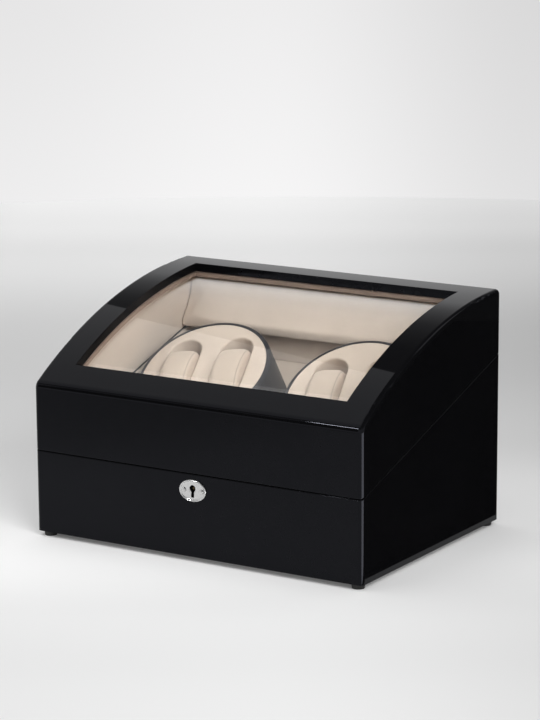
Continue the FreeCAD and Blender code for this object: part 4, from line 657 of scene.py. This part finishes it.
def bake(piece):
    """Turns what a piece's modifiers make into its own plain mesh."""
    bpy.context.view_layer.update()
    depsgraph = bpy.context.evaluated_depsgraph_get()
    mesh = bpy.data.meshes.new_from_object(piece.evaluated_get(depsgraph), preserve_all_data_layers=True,
                                           depsgraph=depsgraph)
    piece.modifiers.clear()
    return mesh


sheet = new_object("sheet", finish_mesh(drum_face(), "sheet"))
wall = sheet.modifiers.new("wall", "SOLIDIFY")
wall.thickness = FACE_WALL
wall.offset = -1
thick_sheet = bake(sheet)
bpy.data.objects.remove(sheet)
for side in ("left", "right"):
    mesh = thick_sheet.copy()
    mesh.transform(drum_frame(side))
    add_piece(f"{side}_velvet_face", mesh, "cream_velvet", f"{side}_drum", f"{side}_drum_face")

# %% [markdown]
# ## Pillows
# A pillow is pressed into each pocket and is what a strap goes round. It is foam in a velvet cover: a full crown
# along the strap's way, softly rounded ends, and flatter sides with a seam. The CAD solid has that form but the
# tight look of a solid, so its skin is remeshed evenly and inflated for a moment as cloth, with a cap on how far each
# point may go. All four pillows are alike, so one is simulated and the others are copies with a slight unevenness.

# %% Pillows
PILLOW_VOXEL = 1.5 * MM
PILLOW_PRESSURE = 4
PILLOW_CAP = 0.9 * MM
PILLOW_START = 0.7 * MM
PILLOW_SMOOTHING = 3
PILLOW_UNEVENNESS = 0.12 * MM
WAVES_ALONG = 90
WAVES_ACROSS = 70
WAVE_SHIFTS = (2.1, 1.3)
SEAM_START = 0.2
PLACES = {"left": -POCKET_PLACE, "right": POCKET_PLACE}


def push(mesh, amounts):
    """Moves each point of a mesh along its normal; the normals are read before anything moves."""
    normals = [vertex.normal.copy() for vertex in mesh.vertices]
    for vertex, normal, amount in zip(mesh.vertices, normals, amounts):
        vertex.co += normal * amount


def remeshed(work, voxel, shrink):
    """Even skin over a working copy, drawn in a little so that it has room to swell."""
    blank = new_object("blank", finish_mesh(work, "blank"))
    even = blank.modifiers.new("even", "REMESH")
    even.mode = "VOXEL"
    even.voxel_size = voxel
    mesh = bake(blank)
    bpy.data.objects.remove(blank)
    push(mesh, [-shrink] * len(mesh.vertices))
    return new_object("skin", mesh)


def swell(piece, pressure, cap, frames=20):
    """Inflates a skin as cloth and keeps every point within the cap."""
    start = [vertex.co.copy() for vertex in piece.data.vertices]
    cloth = piece.modifiers.new("cloth", "CLOTH")
    cloth.settings.use_pressure = True
    cloth.settings.uniform_pressure_force = pressure
    cloth.settings.effector_weights.gravity = 0
    cloth.point_cache.frame_start = 1
    cloth.point_cache.frame_end = frames
    for step in range(1, frames + 1):
        scene.frame_set(step)
    swollen = bake(piece)
    for vertex, before, after in zip(piece.data.vertices, start, swollen.vertices):
        move = after.co - before
        vertex.co = before + move * min(1, cap / max(move.length, 1e-9))
    scene.frame_set(1)


def smoothed(piece, rounds):
    """The piece's mesh, evened out and subdivided once; the piece is removed."""
    even = piece.modifiers.new("even", "SMOOTH")
    even.factor = 0.5
    even.iterations = rounds
    finer = piece.modifiers.new("finer", "SUBSURF")
    finer.levels = finer.render_levels = 1
    mesh = bake(piece)
    bpy.data.objects.remove(piece)
    mesh.shade_smooth()
    return mesh


def make_pillow():
    """One pillow about its own pocket's middle."""
    work = merged_copy("left_drum_left_pillow")
    to_pocket = Matrix.Translation((-PLACES["left"], 0, 0)) @ drum_frame("left").inverted()
    bmesh.ops.transform(work, matrix=to_pocket, verts=work.verts)
    piece = remeshed(work, PILLOW_VOXEL, PILLOW_START)
    swell(piece, PILLOW_PRESSURE, PILLOW_CAP)
    return smoothed(piece, PILLOW_SMOOTHING)


def keep_values(mesh, name, kind, values):
    """Keeps one number or vector for each point of a mesh."""
    field = "vector" if kind == "FLOAT_VECTOR" else "value"
    attribute = mesh.attributes.new(name, kind, "POINT")
    for item, value in zip(attribute.data, values):
        setattr(item, field, value)


def mark_seam(mesh):
    """Keeps the distance from the pillow's middle and the way along it, for the seam."""
    keep_values(mesh, "across", "FLOAT", [abs(vertex.co.x) for vertex in mesh.vertices])
    keep_values(mesh, "along", "FLOAT", [vertex.co.y + vertex.co.z + SEAM_START for vertex in mesh.vertices])


pillow = make_pillow()
mark_seam(pillow)
for number, (side, place) in enumerate((side, place) for side in ("left", "right") for place in PLACES):
    mesh = pillow.copy()
    along_shift, across_shift = (shift * number for shift in WAVE_SHIFTS)
    waves = [math.sin(WAVES_ALONG * vertex.co.y + along_shift) * math.cos(WAVES_ACROSS * vertex.co.x + across_shift)
             for vertex in mesh.vertices]
    push(mesh, [PILLOW_UNEVENNESS * (wave - 1) for wave in waves])
    mesh.transform(drum_frame(side) @ Matrix.Translation((PLACES[place], 0, 0)))
    name = f"{side}_drum_{place}_pillow"
    soft = add_piece(f"soft_{name}", mesh, "pillow_velvet", name, name)

# %% [markdown]
# ## Padded roll
# Across the back of the lid the lining swells into a padded roll, with a hollow above it and a round nose that leans
# over the drums. It is soft, so it gets the same treatment as the pillows: an even skin over the CAD form, a short
# inflation with a cap, and one subdivision. Its ends stay where the side linings meet them.

# %% Padded roll
ROLL_VOXEL = 3 * MM
ROLL_PRESSURE = 4
ROLL_CAP = 1.6 * MM
ROLL_START = 1.0 * MM
ROLL_SMOOTHING = 4
ROLL_TUCK = 0.2 * MM
ROLL_HALF_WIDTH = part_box("lid_back_lining")[1].x + ROLL_TUCK

roll_skin = remeshed(merged_copy("lid_back_lining"), ROLL_VOXEL, ROLL_START)
swell(roll_skin, ROLL_PRESSURE, ROLL_CAP)
roll_mesh = smoothed(roll_skin, ROLL_SMOOTHING)
roll_reach = max(abs(vertex.co.x) for vertex in roll_mesh.vertices)
roll_mesh.transform(Matrix.Diagonal((ROLL_HALF_WIDTH / roll_reach, 1, 1, 1)))
roll = add_piece("padded_roll", roll_mesh, "cream_velvet", "lid", "lid_back_lining")

# %% [markdown]
# ## Escutcheon
# The keyhole is guarded by a small oval plate of satin nickel with a raised bead round it. It is cast and polished, so
# every edge is soft. A bevel on the CAD plate would not make the bead, so the plate is skinned from ovals: up the
# outside, over the bead, down to the dish, and then in to the outline of the keyhole and back through it.

# %% Escutcheon
PLATE_HALF_WIDTH = 14.25 * MM
PLATE_HALF_HEIGHT = 10.2 * MM
PLATE_CENTRE = Vector((0, -129.45 * MM, 67 * MM))
KEYHOLE_RISE = 2 * MM
KEYHOLE_RADIUS = 3.1 * MM
KEYHOLE_HALF_SLOT = 1.6 * MM
KEYHOLE_REACH = 8 * MM
PLATE_STEPS = ((0, 0), (0, 0.9), (0.12, 1.3), (0.4, 1.65), (0.8, 1.8), (1.2, 1.65), (1.5, 1.3), (1.75, 1.06),
               (2.3, 1.0))
DISH_STEP = (2.6, 1.0)
DISH_SHARES = (0.25, 0.5, 0.75, 1)
KEYHOLE_STEPS = ((0.3, 1.0), (0.08, 0.9), (0, 0.7), (0, 0))
RING_COUNT = 96
RING_TURNS = [math.tau * k / RING_COUNT for k in range(RING_COUNT)]


def oval(inset, height):
    """Ring of the plate's outline, drawn in by an inset."""
    return [Vector(((PLATE_HALF_WIDTH - inset) * math.sin(turn), (PLATE_HALF_HEIGHT - inset) * math.cos(turn), height))
            for turn in RING_TURNS]


def keyhole(grow, height):
    """Ring of the keyhole's outline, as far from its round centre as the outline is in each direction."""
    ring = []
    for turn in RING_TURNS:
        way = Vector((math.sin(turn), math.cos(turn)))
        reach = KEYHOLE_RADIUS
        if way.y < 0:
            to_side = KEYHOLE_HALF_SLOT / max(abs(way.x), 1e-6)
            to_end = KEYHOLE_REACH / -way.y
            reach = max(reach, min(to_side, to_end))
        reach += grow
        ring.append(Vector((way.x * reach, way.y * reach + KEYHOLE_RISE, height)))
    return ring


def make_escutcheon():
    """Closed plate with a bead, a dish and a keyhole."""
    work = bmesh.new()
    *rings, dish = [oval(inset * MM, height * MM) for inset, height in (*PLATE_STEPS, DISH_STEP)]
    hole, *through = [keyhole(grow * MM, height * MM) for grow, height in KEYHOLE_STEPS]
    rings += [[a.lerp(b, share) for a, b in zip(dish, hole)] for share in DISH_SHARES]
    skin(work, rings + through, closed=True)
    bmesh.ops.recalc_face_normals(work, faces=work.faces)
    upright = Matrix(((1, 0, 0), (0, 0, -1), (0, 1, 0))).to_4x4()
    bmesh.ops.transform(work, matrix=Matrix.Translation(PLATE_CENTRE) @ upright, verts=work.verts)
    return work


add_piece("keyhole_plate", finish_mesh(make_escutcheon(), "keyhole_plate"), "nickel", "case", "escutcheon")

# %% [markdown]
# ## Screws
# The box is held together by some forty screws of a few kinds. Modelling each would be endless, so one head and one
# shank are drawn at unit size, and Geometry Nodes put a copy on every point of a small cloud. Each point keeps which
# way its head faces, and how wide and how long the CAD screw is.

# %% Screw shapes
CROSS = [(0.11, 0.62), (0.11, 0.11), (0.62, 0.11), (0.62, -0.11), (0.11, -0.11), (0.11, -0.62), (-0.11, -0.62),
         (-0.11, -0.11), (-0.62, -0.11), (-0.62, 0.11), (-0.11, 0.11), (-0.11, 0.62)]
SLOT = [(0.74, 0.12), (0.74, -0.12), (-0.74, -0.12), (-0.74, 0.12)]
COUNTERSUNK = [(0.54, -0.58), (0.97, -0.04), (1.0, -0.02), (0.97, 0)]
DOMED = [(0.54, -0.58), (1.0, -0.58), (1.0, -0.36), (0.93, -0.2), (0.8, -0.08), (0.78, -0.06)]
HEAD_COUNT = 28
SHANK_COUNT = 12
SHANK_STEPS = 16
SHANK_WIDTH = 0.54
THREAD_DEPTH = 0.1
POINT_START = 0.8
POINT_WIDTH = 0.02


def screw_head(name, profile, recess, depth=0.32):
    """Head of unit radius whose top is at zero and faces up, with a recess for a driver."""
    work = bmesh.new()
    loops = skin(work, [circle(radius, height, HEAD_COUNT) for radius, height in profile])
    work.faces.new(loops[0][::-1])
    level = profile[-1][1]
    outline = skin(work, [[Vector((x, y, height)) for x, y in recess] for height in (level - depth, level)])
    work.faces.new(outline[0])
    bmesh.ops.triangle_fill(work, use_beauty=True, edges=loop_edges(work, loops[-1]) + loop_edges(work, outline[1]))
    bmesh.ops.recalc_face_normals(work, faces=work.faces)
    return new_object(name, finish_mesh(work, name, sharp=30))


def turned_solid(name, profile, count):
    """Closed solid turned from a profile of (radius, height) pairs."""
    work = bmesh.new()
    loops = skin(work, [circle(radius, height, count) for radius, height in profile])
    work.faces.new(loops[0][::-1])
    work.faces.new(loops[-1])
    bmesh.ops.recalc_face_normals(work, faces=work.faces)
    return finish_mesh(work, name, sharp=30)


def screw_shank():
    """Pointed shank of unit length below zero, with a few turns of thread as ridges."""
    profile = []
    for step in range(SHANK_STEPS + 1):
        share = step / SHANK_STEPS
        width = SHANK_WIDTH - THREAD_DEPTH * (step % 2)
        if share >= POINT_START:
            width = SHANK_WIDTH * (1 - share) / (1 - POINT_START) + POINT_WIDTH
        profile.append((width, -share))
    return new_object("shank", turned_solid("shank", profile, SHANK_COUNT))


heads = {"countersunk": screw_head("countersunk", COUNTERSUNK, CROSS),
         "domed": screw_head("domed", DOMED, CROSS),
         "slotted": screw_head("slotted", DOMED, SLOT)}
shank = screw_shank()
print("heads:", ", ".join(heads))

# %% Screw tree
def named_value(tree, name, kind):
    """Reads an attribute of the points."""
    return add_node(tree, "GeometryNodeInputNamedAttribute", {"Name": name}, data_type=kind).outputs["Attribute"]


def new_tree(name, **inputs):
    """Empty tree with a geometry in and out, and named inputs of given socket types."""
    tree = bpy.data.node_groups.new(name, "GeometryNodeTree")
    tree.interface.new_socket("Geometry", in_out="INPUT", socket_type="NodeSocketGeometry")
    tree.interface.new_socket("Geometry", in_out="OUTPUT", socket_type="NodeSocketGeometry")
    for label, kind in inputs.items():
        tree.interface.new_socket(label, in_out="INPUT", socket_type=f"NodeSocket{kind}")
    return tree, tree.nodes.new("NodeGroupInput").outputs


def end_tree(tree, copies, finish):
    """Ends a tree: copies become real mesh and take their finish."""
    real = add_node(tree, "GeometryNodeRealizeInstances", {"Geometry": copies})
    coat = add_node(tree, "GeometryNodeSetMaterial", {"Geometry": real.outputs["Geometry"], "Material": finish})
    add_node(tree, "NodeGroupOutput", {"Geometry": coat.outputs["Geometry"]})
    return tree


def copies_of(tree, source, points, turn, scale):
    """Copies of an object input on points."""
    shape = add_node(tree, "GeometryNodeObjectInfo", {"Object": source}).outputs["Geometry"]
    return add_node(tree, "GeometryNodeInstanceOnPoints", {"Points": points, "Instance": shape, "Rotation": turn,
                                                           "Scale": scale}).outputs["Instances"]


def turned_to(tree, axis, way):
    """Rotation that points an axis of a copy along a way."""
    return add_node(tree, "FunctionNodeAlignRotationToVector", {"Vector": way}, axis=axis).outputs["Rotation"]


def make_screw_tree():
    """Tree that sets a head and a shank on every point."""
    tree, given = new_tree("screws_on_points", Head="Object", Shank="Object", Finish="Material")
    turn = turned_to(tree, "Z", named_value(tree, "way", "FLOAT_VECTOR"))
    width = named_value(tree, "width", "FLOAT")
    joined = add_node(tree, "GeometryNodeJoinGeometry")
    for part, reach in (("Head", width), ("Shank", named_value(tree, "reach", "FLOAT"))):
        scale = add_node(tree, "ShaderNodeCombineXYZ", {"X": width, "Y": width, "Z": reach}).outputs["Vector"]
        tree.links.new(copies_of(tree, given[part], given["Geometry"], turn, scale), joined.inputs["Geometry"])
    return end_tree(tree, joined.outputs["Geometry"], given["Finish"])


def run_tree(name, mesh, tree, **values):
    """Mesh that a tree makes from a mesh and its named inputs."""
    thing = new_object(name, mesh)
    grow = thing.modifiers.new("grow", "NODES")
    grow.node_group = tree
    for item in tree.interface.items_tree:
        if item.in_out == "INPUT" and item.name in values:
            grow[item.identifier] = values[item.name]
    made = bake(thing)
    bpy.data.objects.remove(thing)
    return made


screw_tree = make_screw_tree()
print("screw tree has", len(screw_tree.nodes), "nodes")

# %% [markdown]
# The points come from the CAD screws. A node of screws is one mesh, so it is walked from vertex to vertex to part it
# into single screws. Measured along the way that the heads face, the highest point is the top of the head and the
# lowest is the tip. Reading sizes off the mesh keeps the screws right when the CAD model changes.

# %% Screws in place
BASE_BACK = 160 * MM
BASE_FRONT = 76.5 * MM
BASE_DEPTH = 255 * MM


def islands(node):
    """Lists of the vertex places of each separate solid in a CAD node."""
    work = joined_copy(node)
    waiting = set(work.verts)
    found = []
    while waiting:
        reached = [waiting.pop()]
        for vertex in reached:
            for edge in vertex.link_edges:
                other = edge.other_vert(vertex)
                if other in waiting:
                    waiting.discard(other)
                    reached.append(other)
        found.append([vertex.co.copy() for vertex in reached])
    work.free()
    return found


def measure_screw(points, way):
    """Place of a screw's head, its radius and its length."""
    side = way.orthogonal().normalized()
    other = way.cross(side)
    reaches = [[axis.dot(point) for point in points] for axis in (way, side, other)]
    (tip, head), (near, far), (low, high) = [(min(reach), max(reach)) for reach in reaches]
    place = way * head + side * (near + far) / 2 + other * (low + high) / 2
    return place, (far - near) / 2, head - tip


def screw_points(node, way):
    """Cloud of points for the screws of a node, with what the tree needs."""
    places, radii, lengths = zip(*(measure_screw(points, way) for points in islands(node)))
    mesh = bpy.data.meshes.new(f"{node}_points")
    mesh.from_pydata(places, [], [])
    keep_values(mesh, "way", "FLOAT_VECTOR", [way] * len(places))
    keep_values(mesh, "width", "FLOAT", radii)
    keep_values(mesh, "reach", "FLOAT", lengths)
    return mesh


split_way = Vector((0, BASE_FRONT - BASE_BACK, BASE_DEPTH)).normalized()
drum_way = Vector(joint_named("left_drum_spin")["axis"]).normalized()
SCREWS = {"bottom_screws": (Vector((0, 0, -1)), "countersunk", "steel"),
          "foot_screws": (Vector((0, 0, -1)), "countersunk", "steel"),
          "control_plate_screws": (Vector((0, 1, 0)), "countersunk", "steel"),
          "hinge_base_screws": (split_way, "countersunk", "steel"),
          "hinge_lid_screws": (-split_way, "countersunk", "steel"),
          "strike_screws": (-split_way, "countersunk", "steel"),
          "drive_screws": (-drum_way, "domed", "steel"),
          "escutcheon_screws": (Vector((0, -1, 0)), "slotted", "nickel")}
for node, (way, head, slot) in SCREWS.items():
    made = run_tree(node, screw_points(node, way), screw_tree, Head=heads[head], Shank=shank, Finish=finishes[slot])
    add_piece(f"detailed_{node}", made, slot, body_of[node], node)
for thing in (*heads.values(), shank):
    bpy.data.objects.remove(thing)

# %% [markdown]
# ## Mode knobs
# On the back two small knobs set the turning programme. A knob like this is moulded with ribs round its edge so that
# it can be gripped. The ribs repeat round an arc, so a second tree sets copies along an arc of any sweep. The same
# tree puts the printed marks round each knob on the plate.

# %% Arc tree
def make_arc_tree():
    """Tree that adds copies of an object along an arc to a geometry."""
    tree, given = new_tree("copies_on_arc", Copy="Object", Count="Int", Radius="Float", Start="Float", Sweep="Float",
                           Finish="Material")
    arc = add_node(tree, "GeometryNodeCurveArc", {"Resolution": given["Count"], "Radius": given["Radius"],
                                                  "Start Angle": given["Start"], "Sweep Angle": given["Sweep"]})
    turn = turned_to(tree, "X", add_node(tree, "GeometryNodeInputPosition").outputs["Position"])
    joined = add_node(tree, "GeometryNodeJoinGeometry", {"Geometry": given["Geometry"]})
    tree.links.new(copies_of(tree, given["Copy"], arc.outputs["Curve"], turn, (1, 1, 1)), joined.inputs["Geometry"])
    return end_tree(tree, joined.outputs["Geometry"], given["Finish"])


def rounded_block(name, low, high, width):
    """Small block with rounded edges, from two corners and a width in millimetres."""
    work = bmesh.new()
    middle = (Vector(low) + Vector(high)) / 2 * MM
    size = (Vector(high) - Vector(low)) * MM
    place = Matrix.Translation(middle) @ Matrix.Diagonal((*size, 1))
    bmesh.ops.create_cube(work, size=1, matrix=place)
    round_edges(work, width * MM, steps=2)
    return finish_mesh(work, name)


arc_tree = make_arc_tree()
print("arc tree has", len(arc_tree.nodes), "nodes")

# %% Knobs
STEM_STEPS = ((2.2, 0), (2.5, 0.3))
KNOB_STEPS = ((2.5, 0), (7.8, 0), (8, 0.2), (8, 0.7), (7.55, 0.9), (7.55, 4.1), (7.25, 4.6), (6.65, 4.8), (5.55, 4.65),
              (1.2, 4.45))
RIB = ((-0.5, -0.22, 1.0), (0.4, 0.22, 4.0), 0.1)
TICK = ((-0.8, -0.2, 0), (0.8, 0.2, 0.08), 0.03)
POINTER = ((-0.45, 2.2, 4.3), (0.45, 6.4, 4.85), 0.1)
KNOB_GAP = 0.3 * MM
KNOB_LEVEL = 39 * MM
KNOB_PLACE = 18 * MM
KNOB_COUNT = 72
GRIP_RADIUS = 7.55 * MM
RIB_COUNT = 36
MARK_COUNT = 5
MARK_RADIUS = 10.2 * MM
MARK_START = math.radians(30)
MARK_SWEEP = math.radians(120)
PLATE_BACK = 125.55 * MM


def knob_body(stem_length):
    """Turned knob with its stem, facing up, its underside at zero."""
    profile = [(radius * MM, height * MM - stem_length) for radius, height in STEM_STEPS]
    profile += [(radius * MM, height * MM) for radius, height in KNOB_STEPS]
    return turned_solid("knob_body", profile, KNOB_COUNT)


mark_white = make_finish("mark_white", ((0.62, 0.62, 0.60), (0.74, 0.74, 0.72)), 1500, (0.5, 0.65), 0.02 * MM)
rib = new_object("rib", rounded_block("rib", *RIB))
tick = new_object("tick", rounded_block("tick", *TICK))
facing = Matrix(((-1, 0, 0), (0, 0, 1), (0, 1, 0))).to_4x4()
for side, sign in (("left", -1), ("right", 1)):
    node = f"{side}_mode_knob"
    knob_frame = Matrix.Translation((sign * KNOB_PLACE, PLATE_BACK + KNOB_GAP, KNOB_LEVEL)) @ facing
    stem_length = PLATE_BACK + KNOB_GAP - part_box(node)[0].y
    ribbed = run_tree("ribbed", knob_body(stem_length), arc_tree, Copy=rib, Count=RIB_COUNT, Radius=GRIP_RADIUS,
                      Start=0.0, Sweep=math.tau * (1 - 1 / RIB_COUNT), Finish=finishes["matte_black_plastic"])
    ribbed.transform(knob_frame)
    add_piece(f"ribbed_{node}", ribbed, "matte_black_plastic", node, node)
    pointer = rounded_block("pointer", *POINTER)
    pointer.materials.append(mark_white)
    pointer.transform(knob_frame)
    add_piece(f"{side}_knob_pointer", pointer, "matte_black_plastic", node)
    marks = run_tree("marks", bpy.data.meshes.new("marks"), arc_tree, Copy=tick, Count=MARK_COUNT, Radius=MARK_RADIUS,
                     Start=MARK_START, Sweep=MARK_SWEEP, Finish=mark_white)
    marks.transform(Matrix.Translation((sign * KNOB_PLACE, PLATE_BACK, KNOB_LEVEL)) @ facing)
    add_piece(f"{side}_knob_marks", marks, "matte_black_plastic", "case")
for thing in (rib, tick):
    bpy.data.objects.remove(thing)

# %% [markdown]
# ## Finish
# The dressed model must keep the size of the CAD model.

# %% Finish
import json
